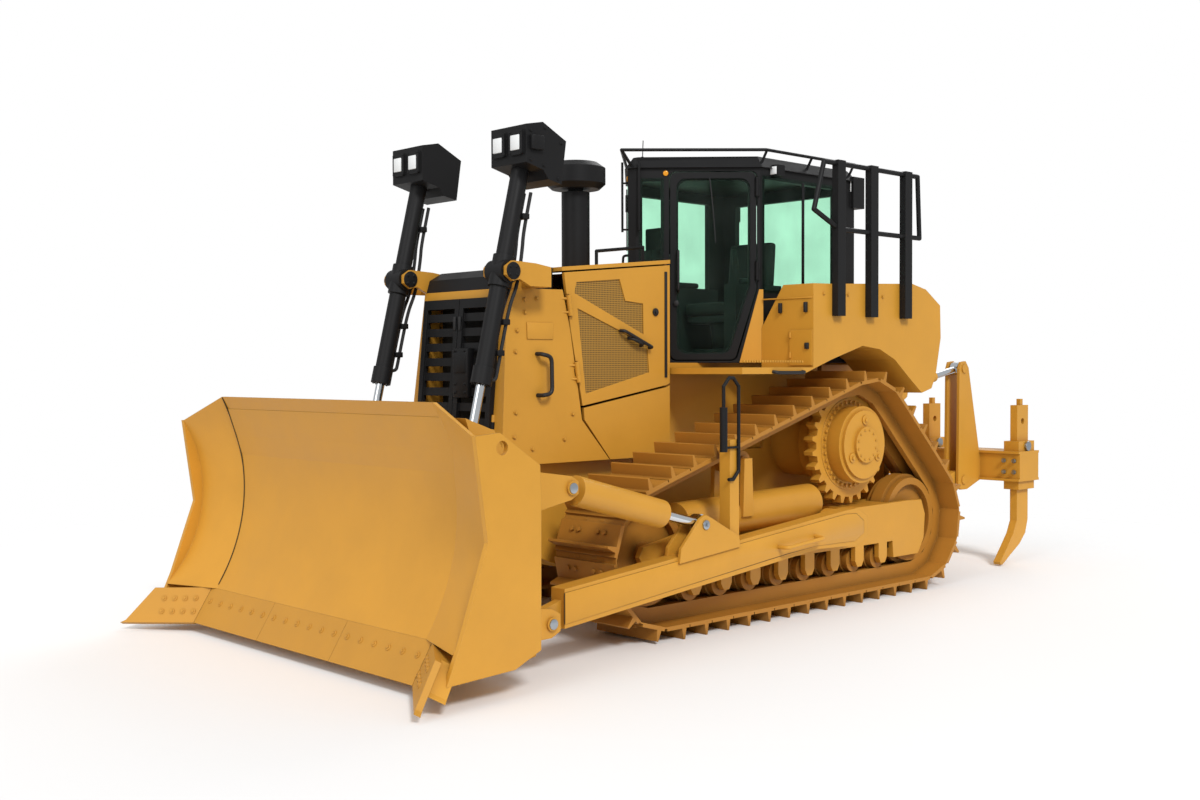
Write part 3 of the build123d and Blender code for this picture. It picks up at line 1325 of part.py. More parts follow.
# ripper cylinders: name, y, front pin, rear pin, barrel radius, rod radius, rear eye's
# radius, and the shares of the distance between the pins to the barrel's end, to the
# bottom of its bore and to the rod's inner end
ripper_cylinders = (
    ("tilt", ripper_y, (link_front_x, link_front_z + tower_height),
     (tower_pin_x, tower_low_z + tower_height), 54, 32, 62, 0.6, 0.12, 0.2),
    ("lift", ripper_lift_y, (ripper_lift_front_x, ripper_lift_front_z),
     (lift_lug_x, lift_lug_z), 54, 32, 55, 0.635, 0.07, 0.365),
)
for name, y, front_pin, rear_pin, barrel, rod, eye, foot, bore_end, rod_end in ripper_cylinders:
    clear = link_pin_radius + pin_clearance
    with BuildPart() as ripper_barrel:
        for side in (1, -1):
            start = Vector(front_pin[0], side * y, front_pin[1])
            end = Vector(rear_pin[0], side * y, rear_pin[1])
            drum(start.X, start.Z, 70, start.Y, 80)
            bar(tuple(start), between(start, end, foot), barrel)
            bar(between(start, end, bore_end), between(start, end, foot + 0.01), rod + seat_gap,
                Mode.SUBTRACT)
            drum(start.X, start.Z, clear, start.Y, 200, Mode.SUBTRACT)
    ripper_barrel.part.label = f"ripper_{name}_barrels"
    export_step(ripper_barrel.part, f"parts/ripper_{name}_barrels.step")
    with BuildPart() as ripper_rod:
        for side in (1, -1):
            start = Vector(front_pin[0], side * y, front_pin[1])
            end = Vector(rear_pin[0], side * y, rear_pin[1])
            bar(between(start, end, rod_end), tuple(end), rod)
            drum(end.X, end.Z, eye, end.Y, 80)
            if name == "tilt":
                drum(end.X, end.Z, clear, end.Y, 200, Mode.SUBTRACT)
    ripper_rod.part.label = f"ripper_{name}_rods"
    export_step(ripper_rod.part, f"parts/ripper_{name}_rods.step")
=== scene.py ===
"""A crawler dozer: finishes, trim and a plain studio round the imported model."""
import json
import logging
import math
from dataclasses import dataclass, field
from enum import Enum

import bmesh
import bpy
from mathutils import Matrix, Vector


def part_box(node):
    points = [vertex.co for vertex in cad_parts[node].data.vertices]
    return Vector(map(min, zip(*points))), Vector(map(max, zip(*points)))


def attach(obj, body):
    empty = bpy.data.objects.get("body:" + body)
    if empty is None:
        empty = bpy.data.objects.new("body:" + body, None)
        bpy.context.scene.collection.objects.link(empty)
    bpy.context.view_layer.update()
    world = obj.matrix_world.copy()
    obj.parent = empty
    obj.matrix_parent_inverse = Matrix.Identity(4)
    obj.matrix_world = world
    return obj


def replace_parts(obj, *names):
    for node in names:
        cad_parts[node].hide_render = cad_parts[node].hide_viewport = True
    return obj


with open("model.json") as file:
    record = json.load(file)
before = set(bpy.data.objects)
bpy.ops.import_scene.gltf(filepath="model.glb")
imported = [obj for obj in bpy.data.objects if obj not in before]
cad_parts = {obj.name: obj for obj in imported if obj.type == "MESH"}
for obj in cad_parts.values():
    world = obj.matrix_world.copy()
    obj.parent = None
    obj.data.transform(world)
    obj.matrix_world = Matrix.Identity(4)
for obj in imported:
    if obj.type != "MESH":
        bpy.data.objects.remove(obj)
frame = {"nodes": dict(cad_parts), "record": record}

LOG = logging.getLogger("dozer")
SIDES = (("left", 1), ("right", -1))
SHARP_ANGLE = math.radians(32)


class Slot(Enum):
    """The material slots that the record names."""

    YELLOW_PAINT = "yellow_paint"
    BLACK_PAINT = "black_paint"
    TRACK_STEEL = "track_steel"
    EDGE_STEEL = "edge_steel"
    CHROME_ROD = "chrome_rod"
    GLASS = "glass"
    ENGINE_IRON = "engine_iron"
    SEAT_VINYL = "seat_vinyl"
    DARK_PLASTIC = "dark_plastic"


def linear(code: str, alpha: float = 1.0) -> tuple[float, float, float, float]:
    """Turn an sRGB hex colour into linear light.

    Args:
        code: The colour as "#RRGGBB".
        alpha: The fourth number.

    Returns:
        Red, green and blue in linear light, and alpha.
    """
    parts = [int(code[i:i + 2], 16) / 255 for i in (1, 3, 5)]
    light = [c / 12.92 if c <= 0.04045 else ((c + 0.055) / 1.055) ** 2.4 for c in parts]
    return (light[0], light[1], light[2], alpha)


def add_node(tree: bpy.types.NodeTree, kind: str, settings: dict | None = None,
             links: dict | None = None) -> bpy.types.Node:
    """Add a node with its settings and links.

    Args:
        tree: The tree that gets the node.
        kind: The node's type.
        settings: Attribute names, or input names and indexes, with their values.
        links: Input names or indexes, with the output sockets they come from.

    Returns:
        The new node.
    """
    node = tree.nodes.new(kind)
    for key, value in (settings or {}).items():
        if isinstance(key, str) and hasattr(node, key):
            setattr(node, key, value)
        else:
            node.inputs[key].default_value = value
    for key, source in (links or {}).items():
        tree.links.new(source, node.inputs[key])
    return node


def new_tree(name: str) -> tuple[bpy.types.Material, bpy.types.NodeTree]:
    """Make an empty node material.

    Args:
        name: The material's name.

    Returns:
        The material and its tree.
    """
    material = bpy.data.materials.new(name)
    material.use_nodes = True
    material.node_tree.nodes.clear()
    return material, material.node_tree


def close_tree(tree: bpy.types.NodeTree, shader: bpy.types.Node) -> None:
    """Join a shader to the material's output.

    Args:
        tree: The material's tree.
        shader: The node whose first output is the surface.
    """
    add_node(tree, "ShaderNodeOutputMaterial", links={"Surface": shader.outputs[0]})


@dataclass(frozen=True)
class Paint:
    """Sprayed two-pack enamel or powder coat on steel plate.

    To the eye it is an even colour with a soft gloss and a faint orange peel. Corners and
    crevices get painted shade, and the edges a lighter tint in patches, partly wear and partly
    painted highlight.
    """

    name: str
    colour: str
    # colour that corners and crevices darken to: painted shade
    corner_shade_colour: str
    # lighter tint along the edges: partly wear, partly painted highlight
    rub_and_highlight: str
    roughness: float
    edge_mm: float = 5.0
    # strengths of the painted corner shade and of the lighter edge tint
    corner_shade_share: float = 0.35
    rub_and_highlight_share: float = 0.35
    peel_mm: float = 60.0
    shine: float = 0.35

    def build(self) -> bpy.types.Material:
        """Build the material.

        Returns:
            The finished material.
        """
        material, tree = new_tree(self.name)
        place = add_node(tree, "ShaderNodeTexCoord")
        patches = add_node(tree, "ShaderNodeTexNoise",
                           {"Scale": 2.2, "Detail": 5.0, "Roughness": 0.6},
                           {"Vector": place.outputs["Object"]})
        # Painted shade: ambient occlusion darkens corners and crevices towards the shade colour.
        corner_occlusion = add_node(tree, "ShaderNodeAmbientOcclusion", {"samples": 4, "Distance": 0.09})
        corner = add_node(tree, "ShaderNodeMapRange",
                          {"From Min": 0.35, "From Max": 0.92, "To Min": 1.0, "To Max": 0.0},
                          {"Value": corner_occlusion.outputs["AO"]})
        spread = add_node(tree, "ShaderNodeMath", {"operation": "MULTIPLY", 1: self.corner_shade_share},
                          {0: corner.outputs["Result"]})
        corner_shaded = add_node(tree, "ShaderNodeMix",
                          {"data_type": "RGBA", 6: linear(self.colour), 7: linear(self.corner_shade_colour)},
                          {0: spread.outputs[0]})
        rounded = add_node(tree, "ShaderNodeBevel", {"samples": 4, "Radius": self.edge_mm / 1000})
        true = add_node(tree, "ShaderNodeNewGeometry")
        facing = add_node(tree, "ShaderNodeVectorMath", {"operation": "DOT_PRODUCT"},
                          {0: rounded.outputs[0], 1: true.outputs["Normal"]})
        # Edge tint: lighter along the edges, broken by the patches; partly wear, partly painted
        # highlight.
        edge = add_node(tree, "ShaderNodeMapRange",
                        {"From Min": 0.99, "From Max": 0.8, "To Min": 0.0, "To Max": 1.0},
                        {"Value": facing.outputs["Value"]})
        wear_and_highlight = add_node(tree, "ShaderNodeMath", {"operation": "MULTIPLY"},
                        {0: edge.outputs["Result"], 1: patches.outputs[0]})
        rubbed = add_node(tree, "ShaderNodeMath", {"operation": "MULTIPLY", 1: self.rub_and_highlight_share},
                          {0: wear_and_highlight.outputs[0]})
        colour = add_node(tree, "ShaderNodeMix", {"data_type": "RGBA", 7: linear(self.rub_and_highlight)},
                          {0: rubbed.outputs[0], 6: corner_shaded.outputs[2]})
        shade = add_node(tree, "ShaderNodeMapRange",
                         {"From Min": 0.3, "From Max": 0.7, "To Min": 0.95, "To Max": 1.04},
                         {"Value": patches.outputs[0]})
        final = add_node(tree, "ShaderNodeHueSaturation", {},
                         {"Color": colour.outputs[2], "Value": shade.outputs["Result"]})
        gloss = add_node(tree, "ShaderNodeMapRange",
                         {"From Min": 0.3, "From Max": 0.7, "To Min": self.roughness - 0.05,
                          "To Max": self.roughness + 0.08}, {"Value": patches.outputs[0]})
        peel = add_node(tree, "ShaderNodeTexNoise", {"Scale": 1000 / self.peel_mm, "Detail": 2.0},
                        {"Vector": place.outputs["Object"]})
        bump = add_node(tree, "ShaderNodeBump", {"Strength": 0.04, "Distance": 0.004},
                        {"Height": peel.outputs[0], "Normal": rounded.outputs[0]})
        close_tree(tree, add_node(tree, "ShaderNodeBsdfPrincipled",
                                  {"Specular IOR Level": self.shine},
                                  {"Base Color": final.outputs[0],
                                   "Roughness": gloss.outputs["Result"],
                                   "Normal": bump.outputs[0]}))
        return material


@dataclass(frozen=True)
class Metal:
    """Bare metal, plated or rubbed bright: a mirror sheen broken by a fine grain."""

    name: str
    colour: str
    roughness: float
    grain_mm: float = 3.0

    def build(self) -> bpy.types.Material:
        """Build the material.

        Returns:
            The finished material.
        """
        material, tree = new_tree(self.name)
        place = add_node(tree, "ShaderNodeTexCoord")
        grain = add_node(tree, "ShaderNodeTexNoise",
                         {"Scale": 1000 / self.grain_mm, "Detail": 2.0},
                         {"Vector": place.outputs["Object"]})
        gloss = add_node(tree, "ShaderNodeMapRange",
                         {"To Min": self.roughness * 0.8, "To Max": self.roughness * 1.3},
                         {"Value": grain.outputs[0]})
        close_tree(tree, add_node(tree, "ShaderNodeBsdfPrincipled",
                                  {"Base Color": linear(self.colour), "Metallic": 1.0},
                                  {"Roughness": gloss.outputs["Result"]}))
        return material


@dataclass(frozen=True)
class Glass:
    """Toughened float glass with a green tint.

    White seen through both sides of the cab turns mint, and against the dark inside
    the pane has a grey sheen.
    """

    name: str
    colour: str
    sheen: str = "#565B58"
    clear: float = 0.95

    def build(self) -> bpy.types.Material:
        """Build the material.

        Returns:
            The finished material.
        """
        material, tree = new_tree(self.name)
        through = add_node(tree, "ShaderNodeBsdfTransparent", {"Color": linear(self.colour)})
        sheen = add_node(tree, "ShaderNodeBsdfPrincipled",
                         {"Base Color": linear(self.sheen), "Roughness": 0.06,
                          "Specular IOR Level": 0.5})
        place = add_node(tree, "ShaderNodeTexCoord")
        haze = add_node(tree, "ShaderNodeTexNoise", {"Scale": 3.0, "Detail": 2.0},
                        {"Vector": place.outputs["Object"]})
        share = add_node(tree, "ShaderNodeMapRange",
                         {"To Min": 0.92 - self.clear, "To Max": 1.08 - self.clear},
                         {"Value": haze.outputs[0]})
        close_tree(tree, add_node(tree, "ShaderNodeMixShader", {},
                                  {0: share.outputs["Result"], 1: through.outputs[0],
                                   2: sheen.outputs[0]}))
        return material


@dataclass(frozen=True)
class Moulded:
    """Moulded rubber, plastic or vinyl: an even colour with a fine stipple."""

    name: str
    colour: str
    roughness: float
    stipple_mm: float = 4.0
    depth: float = 0.12

    def build(self) -> bpy.types.Material:
        """Build the material.

        Returns:
            The finished material.
        """
        material, tree = new_tree(self.name)
        place = add_node(tree, "ShaderNodeTexCoord")
        stipple = add_node(tree, "ShaderNodeTexNoise",
                           {"Scale": 1000 / self.stipple_mm, "Detail": 3.0},
                           {"Vector": place.outputs["Object"]})
        bump = add_node(tree, "ShaderNodeBump", {"Strength": self.depth, "Distance": 0.001},
                        {"Height": stipple.outputs[0]})
        gloss = add_node(tree, "ShaderNodeMapRange",
                         {"To Min": self.roughness - 0.05, "To Max": self.roughness + 0.1},
                         {"Value": stipple.outputs[0]})
        close_tree(tree, add_node(tree, "ShaderNodeBsdfPrincipled",
                                  {"Base Color": linear(self.colour)},
                                  {"Roughness": gloss.outputs["Result"],
                                   "Normal": bump.outputs[0]}))
        return material


@dataclass(frozen=True)
class Perforated:
    """Enamelled steel sheet with rows of round holes, drawn dark: painted shade of the bay
    behind.

    From a few metres off the holes run together into a browner tone than plain plate.
    """

    name: str
    colour: str
    # colour of the holes: painted shade of the bay behind the sheet
    behind: str
    roughness: float
    pitch_mm: float = 16.0

    def build(self) -> bpy.types.Material:
        """Build the material.

        Returns:
            The finished material.
        """
        material, tree = new_tree(self.name)
        place = add_node(tree, "ShaderNodeTexCoord")
        cells = add_node(tree, "ShaderNodeTexVoronoi",
                         {"Scale": 1000 / self.pitch_mm, "Randomness": 0.0},
                         {"Vector": place.outputs["Object"]})
        hole = add_node(tree, "ShaderNodeMapRange",
                        {"From Min": 0.30, "From Max": 0.36, "To Min": 1.0, "To Max": 0.0},
                        {"Value": cells.outputs["Distance"]})
        # The holes take the behind colour: painted shade in place of real openings.
        colour = add_node(tree, "ShaderNodeMix",
                          {"data_type": "RGBA", 6: linear(self.colour), 7: linear(self.behind)},
                          {0: hole.outputs["Result"]})
        bump = add_node(tree, "ShaderNodeBump", {"Strength": 0.3, "Distance": 0.002},
                        {"Height": cells.outputs["Distance"]})
        close_tree(tree, add_node(tree, "ShaderNodeBsdfPrincipled",
                                  {"Roughness": self.roughness},
                                  {"Base Color": colour.outputs[2],
                                   "Normal": bump.outputs[0]}))
        return material


Finish = Paint | Metal | Glass | Moulded | Perforated

# Yellow two-pack enamel on the plates and castings.
YELLOW = Paint("yellow_enamel", "#CF9534", "#6E4B12", "#E3B560", 0.38)
# The same enamel on track shoes and links: duller and dirtier, with more painted shade
# in the corners and a stronger lighter edge tint.
TRACK = Paint("track_enamel", "#B0782A", "#4A3310", "#D9A95C", 0.52, 4.0, 0.6, 0.5)
# Through-hardened edges, painted with the blade.
EDGE = Paint("edge_enamel", "#C38C33", "#6E4B12", "#DDAF62", 0.46, 4.0)
# Black powder coat on the cab, lamps, cylinders and rails.
BLACK = Paint("black_powder_coat", "#1A1A1B", "#12110F", "#3C3C3C", 0.46, 5.0, 0.2, 0.4,
              shine=0.2)
# Hard chrome on the cylinder rods: a bright mirror.
CHROME = Metal("chrome_plate", "#D9DEE2", 0.12)
# The cab's panes.
TINTED = Glass("tinted_glass", "#ECFFF5")
# Grey primer on the engine's castings and the radiator, dark and dull.
IRON = Paint("primed_iron", "#262522", "#151310", "#45433F", 0.6, shine=0.2)
# Woven-backed vinyl on the seat, dark with a soft sheen.
VINYL = Moulded("seat_vinyl", "#1C1C1D", 0.62)
# Moulded ABS on the consoles and controls.
PLASTIC = Moulded("cab_plastic", "#202123", 0.5)

# Black rubber: grips, hoses and latches, with a dull even sheen.
RUBBER = Moulded("black_rubber", "#1B1B1C", 0.55, 3.0)
# A dark strip laid along joints and the edges of raised plates: a painted shadow line.
SHADOW_LINE = Moulded("painted_shadow_line", "#3A2C12", 0.8, 6.0)
# Moulded polycarbonate over white reflectors.
LENS = Moulded("lamp_lens", "#F4F6F6", 0.12, 12.0, 0.25)
# Amber polycarbonate over the signal lamps.
AMBER = Moulded("amber_lens", "#E89A1C", 0.15, 8.0, 0.2)
# Zinc-plated pin caps.
CAP = Metal("zinc_plate", "#AEB6BE", 0.3)
# Perforated steel sheet under yellow enamel.
MESH = Perforated("perforated_sheet", "#A87C2C", "#4A3A1C", 0.5)

SLOT_FINISH = {
    Slot.YELLOW_PAINT: YELLOW, Slot.BLACK_PAINT: BLACK, Slot.TRACK_STEEL: TRACK,
    Slot.EDGE_STEEL: EDGE, Slot.CHROME_ROD: CHROME, Slot.GLASS: TINTED, Slot.ENGINE_IRON: IRON,
    Slot.SEAT_VINYL: VINYL, Slot.DARK_PLASTIC: PLASTIC,
}


@dataclass
class Studio:
    """The floor, the lamps and the camera."""

    eye: tuple[float, float, float] = (8.295, 7.800, 1.925)
    heading: float = 226.5547
    pitch: float = -1.3142
    roll: float = -0.158
    lens: float = 40.27
    sensor: float = 36.0
    clip_end: float = 200.0
    # name, direction to the sun, strength, angle in degrees
    suns: tuple = (("key", (0.35, 0.85, 0.75), 1.9, 14), ("front", (1.0, 0.1, 0.5), 0.7, 40),
                   ("back", (-0.8, -0.3, 0.6), 0.5, 30))
    surround: float = 0.55
    floor_reach: float = 16.0
    floor_fade: tuple[float, float] = (4.5, 9.0)
    floor_grey: float = 0.93

    def camera(self) -> None:
        """Set up the camera."""
        yaw, pitch, roll = [math.radians(v) for v in (self.heading, self.pitch, self.roll)]
        forward = Vector((math.cos(yaw) * math.cos(pitch), math.sin(yaw) * math.cos(pitch),
                          math.sin(pitch)))
        right = Vector((math.sin(yaw), -math.cos(yaw), 0))
        up = right.cross(forward)
        across = math.cos(roll) * right + math.sin(roll) * up
        above = math.cos(roll) * up - math.sin(roll) * right
        data = bpy.data.cameras.new("camera")
        data.lens = self.lens
        data.sensor_width = self.sensor
        data.clip_end = self.clip_end
        camera = bpy.data.objects.new("camera", data)
        turn = Matrix((across, above, -forward)).transposed().to_4x4()
        camera.matrix_world = Matrix.Translation(self.eye) @ turn
        bpy.context.scene.collection.objects.link(camera)
        bpy.context.scene.camera = camera

    def lamps(self) -> None:
        """Light the object at a plain level."""
        for name, aim, strength, angle in self.suns:
            data = bpy.data.lights.new(name, "SUN")
            data.energy = strength
            data.angle = math.radians(angle)
            lamp = bpy.data.objects.new(name, data)
            lamp.rotation_euler = Vector(aim).to_track_quat("Z", "Y").to_euler()
            bpy.context.scene.collection.objects.link(lamp)

    def world(self) -> None:
        """Soft white surroundings, pure white to the camera and through glass."""
        world = bpy.data.worlds.new("studio")
        world.use_nodes = True
        tree = world.node_tree
        tree.nodes.clear()
        path = add_node(tree, "ShaderNodeLightPath")
        seen = add_node(tree, "ShaderNodeMath", {"operation": "MAXIMUM"},
                        {0: path.outputs["Is Camera Ray"],
                         1: path.outputs["Is Transmission Ray"]})
        soft, white = [add_node(tree, "ShaderNodeBackground",
                                {"Color": (1, 1, 1, 1), "Strength": strength})
                       for strength in (self.surround, 1.0)]
        mix = add_node(tree, "ShaderNodeMixShader", {},
                       {0: seen.outputs[0], 1: soft.outputs[0], 2: white.outputs[0]})
        add_node(tree, "ShaderNodeOutputWorld", links={"Surface": mix.outputs[0]})
        bpy.context.scene.world = world

    def floor(self) -> None:
        """A pale floor that fades out before it reaches the horizon."""
        mesh = bpy.data.meshes.new("floor")
        shape = bmesh.new()
        bmesh.ops.create_circle(shape, cap_ends=True, segments=64, radius=self.floor_reach)
        shape.to_mesh(mesh)
        shape.free()
        floor = bpy.data.objects.new("floor", mesh)
        bpy.context.scene.collection.objects.link(floor)
        material, tree = new_tree("pale_floor")
        place = add_node(tree, "ShaderNodeTexCoord")
        away = add_node(tree, "ShaderNodeVectorMath", {"operation": "LENGTH"},
                        {0: place.outputs["Object"]})
        fade = add_node(tree, "ShaderNodeMapRange",
                        {"From Min": self.floor_fade[0], "From Max": self.floor_fade[1],
                         "To Min": 0.0, "To Max": 1.0},
                        {"Value": away.outputs["Value"]})
        paint = add_node(tree, "ShaderNodeBsdfDiffuse",
                         {"Color": (self.floor_grey, self.floor_grey, self.floor_grey, 1)})
        clear = add_node(tree, "ShaderNodeBsdfTransparent")
        mix = add_node(tree, "ShaderNodeMixShader", {},
                       {0: fade.outputs["Result"], 1: paint.outputs[0], 2: clear.outputs[0]})
        close_tree(tree, mix)
        mesh.materials.append(material)

    def build(self) -> None:
        """Build the whole studio."""
        self.camera()
        self.lamps()
        self.world()
        self.floor()
        bpy.context.scene.view_settings.view_transform = "Standard"


@dataclass
class Dresser:
    """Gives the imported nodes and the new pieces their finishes."""

    made: dict[str, bpy.types.Material] = field(default_factory=dict)

    def finish(self, which: Finish) -> bpy.types.Material:
        """The material of a finish, built once.

        Args:
            which: The finish.

        Returns:
            Its material.
        """
        if which.name not in self.made:
            self.made[which.name] = which.build()
        return self.made[which.name]

    def dress_nodes(self) -> None:
        """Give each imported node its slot's finish."""
        slots = {part["node"]: Slot(part["material_slot"])
                 for part in frame["record"]["subparts"]}
        for name, node in frame["nodes"].items():
            material = self.finish(SLOT_FINISH[slots[name]])
            if not node.material_slots:
                node.data.materials.append(material)
            for place in node.material_slots:
                place.material = material


@dataclass
class Shape:
    """A mesh built up from plain worked forms: plate, bar, bolt and block."""

    mesh: bmesh.types.BMesh = field(default_factory=bmesh.new)

    def soften(self, verts: list, width: float, segments: int = 2) -> None:
        """Bevel the edges between some vertices.

        Args:
            verts: The vertices of one form.
            width: The bevel's width.
            segments: How many faces the round has.
        """
        edges = list({e for v in verts for e in v.link_edges if e.calc_face_angle(0) > 0.5})
        bmesh.ops.bevel(self.mesh, geom=edges, offset=width, offset_type="OFFSET",
                        segments=segments, profile=0.5, affect="EDGES", material=-1,
                        clamp_overlap=True)

    def block(self, low: tuple, high: tuple, bevel: float = 0.004) -> None:
        """Add a block between two corners, with eased edges.

        Args:
            low: The lowest corner.
            high: The highest corner.
            bevel: How much its edges are eased.
        """
        a, b = Vector(low), Vector(high)
        place = Matrix.Translation((a + b) / 2) @ Matrix.Diagonal((b - a).to_4d())
        made = bmesh.ops.create_cube(self.mesh, size=1.0, matrix=place)["verts"]
        if bevel:
            self.soften(made, bevel)

    def slab(self, middle: tuple, size: tuple, bevel: float = 0.004) -> None:
        """Add a block about its middle, with eased edges.

        Args:
            middle: Its middle.
            size: Its sizes along x, y and z.
            bevel: How much its edges are eased.
        """
        half = Vector(size) / 2
        self.block(Vector(middle) - half, Vector(middle) + half, bevel)

    def rod(self, start: tuple, end: tuple, radius: float, sides: int = 16,
            bevel: float = 0.0, far: float | None = None) -> None:
        """Add a round bar between two points.

        Args:
            start: The middle of one end.
            end: The middle of the other end.
            radius: The radius at the start.
            sides: How many sides the round has.
            bevel: The chamfer at both ends.
            far: The radius at the end, where the bar tapers.
        """
        a, b = Vector(start), Vector(end)
        turn = (b - a).to_track_quat("Z", "Y").to_matrix().to_4x4()
        made = bmesh.ops.create_cone(self.mesh, cap_ends=True, segments=sides, radius1=radius,
                                     radius2=radius if far is None else far,
                                     depth=(b - a).length,
                                     matrix=Matrix.Translation((a + b) / 2) @ turn)["verts"]
        if bevel:
            rims = list({e for v in made for e in v.link_edges
                         if any(len(f.verts) > 4 for f in e.link_faces)})
            bmesh.ops.bevel(self.mesh, geom=rims, offset=bevel, offset_type="OFFSET",
                            segments=2, profile=0.5, affect="EDGES", material=-1,
                            clamp_overlap=True)

    def bolt(self, place: tuple, axis: tuple, size: float) -> None:
        """Add a hexagon head on its washer.

        Args:
            place: The middle of the seat under the washer.
            axis: The direction out of the seat.
            size: The size of the head across its flats.
        """
        at, out = Vector(place), Vector(axis).normalized()
        self.rod(at - out * size * 0.2, at + out * size * 0.14, size * 0.78, 12)
        self.rod(at + out * size * 0.13, at + out * size * 0.6, size * 0.56, 6)

    def plate(self, outline: list, out: Vector, thickness: float, bevel: float = 0.0) -> None:
        """Add a flat plate.

        Args:
            outline: Its corners in order, all in one plane.
            out: The direction of its thickness.
            thickness: How thick it is.
            bevel: How much its edges are eased.
        """
        base = self.mesh.faces.new([self.mesh.verts.new(v) for v in outline])
        grown = bmesh.ops.extrude_face_region(self.mesh, geom=[base], use_keep_orig=True)["geom"]
        top = [g for g in grown if isinstance(g, bmesh.types.BMVert)]
        bmesh.ops.translate(self.mesh, vec=out.normalized() * thickness, verts=top)
        made = top + list(base.verts)
        faces = list({f for v in made for f in v.link_faces})
        bmesh.ops.recalc_face_normals(self.mesh, faces=faces)
        if bevel:
            self.soften(made, bevel)


@dataclass
class Workshop:
    """Finishes new pieces and hangs each on the body that carries it."""

    dresser: Dresser
    made: int = 0

    def hang(self, name: str, shape: Shape, finish: Finish,
             body: str) -> bpy.types.Object:
        """Make a piece from its shape.

        Args:
            name: The piece's name.
            shape: What it looks like.
            finish: Its finish.
            body: The body it moves with.

        Returns:
            The piece.
        """
        data = bpy.data.meshes.new(name)
        shape.mesh.to_mesh(data)
        shape.mesh.free()
        return self.fit(bpy.data.objects.new(name, data), finish, body)

    def fit(self, piece: bpy.types.Object, finish: Finish,
            body: str) -> bpy.types.Object:
        """Give a piece its finish and its body.

        Args:
            piece: The piece.
            finish: Its finish.
            body: The body it moves with.

        Returns:
            The piece.
        """
        piece.data.materials.append(self.dresser.finish(finish))
        for face in piece.data.polygons:
            face.use_smooth = True
        piece.data.set_sharp_from_angle(angle=SHARP_ANGLE)
        bpy.context.scene.collection.objects.link(piece)
        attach(piece, body)
        self.made += 1
        LOG.info("made %s", piece.name)
        return piece

    def pipes(self, name: str, runs: list, radius: float, finish: Finish,
              body: str) -> bpy.types.Object:
        """Make bent rigid tube or bar.

        Args:
            name: The piece's name.
            runs: One list of points for each tube.
            radius: The tube's radius.
            finish: Its finish.
            body: The body it moves with.

        Returns:
            The piece.
        """
        curve = bpy.data.curves.new(name, "CURVE")
        curve.dimensions = "3D"
        curve.bevel_depth = radius
        curve.bevel_resolution = 3
        curve.use_fill_caps = True
        for run in runs:
            spline = curve.splines.new("NURBS")
            spline.points.add(len(run) - 1)
            for point, at in zip(spline.points, run):
                point.co = (*at, 1.0)
            spline.order_u = 3
            spline.use_endpoint_u = True
            spline.resolution_u = 6
        holder = bpy.data.objects.new(name + "_line", curve)
        bpy.context.scene.collection.objects.link(holder)
        data = bpy.data.meshes.new_from_object(holder)
        bpy.data.objects.remove(holder)
        data.name = name
        return self.fit(bpy.data.objects.new(name, data), finish, body)


def mirrored(side: int, place: tuple[float, float, float]) -> Vector:
    """A place given for the left side, on the side that is asked for.

    Args:
        side: 1 for the left, -1 for the right.
        place: The place on the left.

    Returns:
        The place on that side.
    """
    return Vector((place[0], side * place[1], place[2]))


def circle(count: int, first: float, radius: float) -> list[tuple[float, float]]:
    """Evenly spaced places on a circle.

    Args:
        count: How many places.
        first: The first one's angle in degrees.
        radius: The circle's radius.

    Returns:
        The two offsets of each place from the middle.
    """
    turns = [math.radians(first) + 2 * math.pi * index / count for index in range(count)]
    return [(radius * math.cos(turn), radius * math.sin(turn)) for turn in turns]


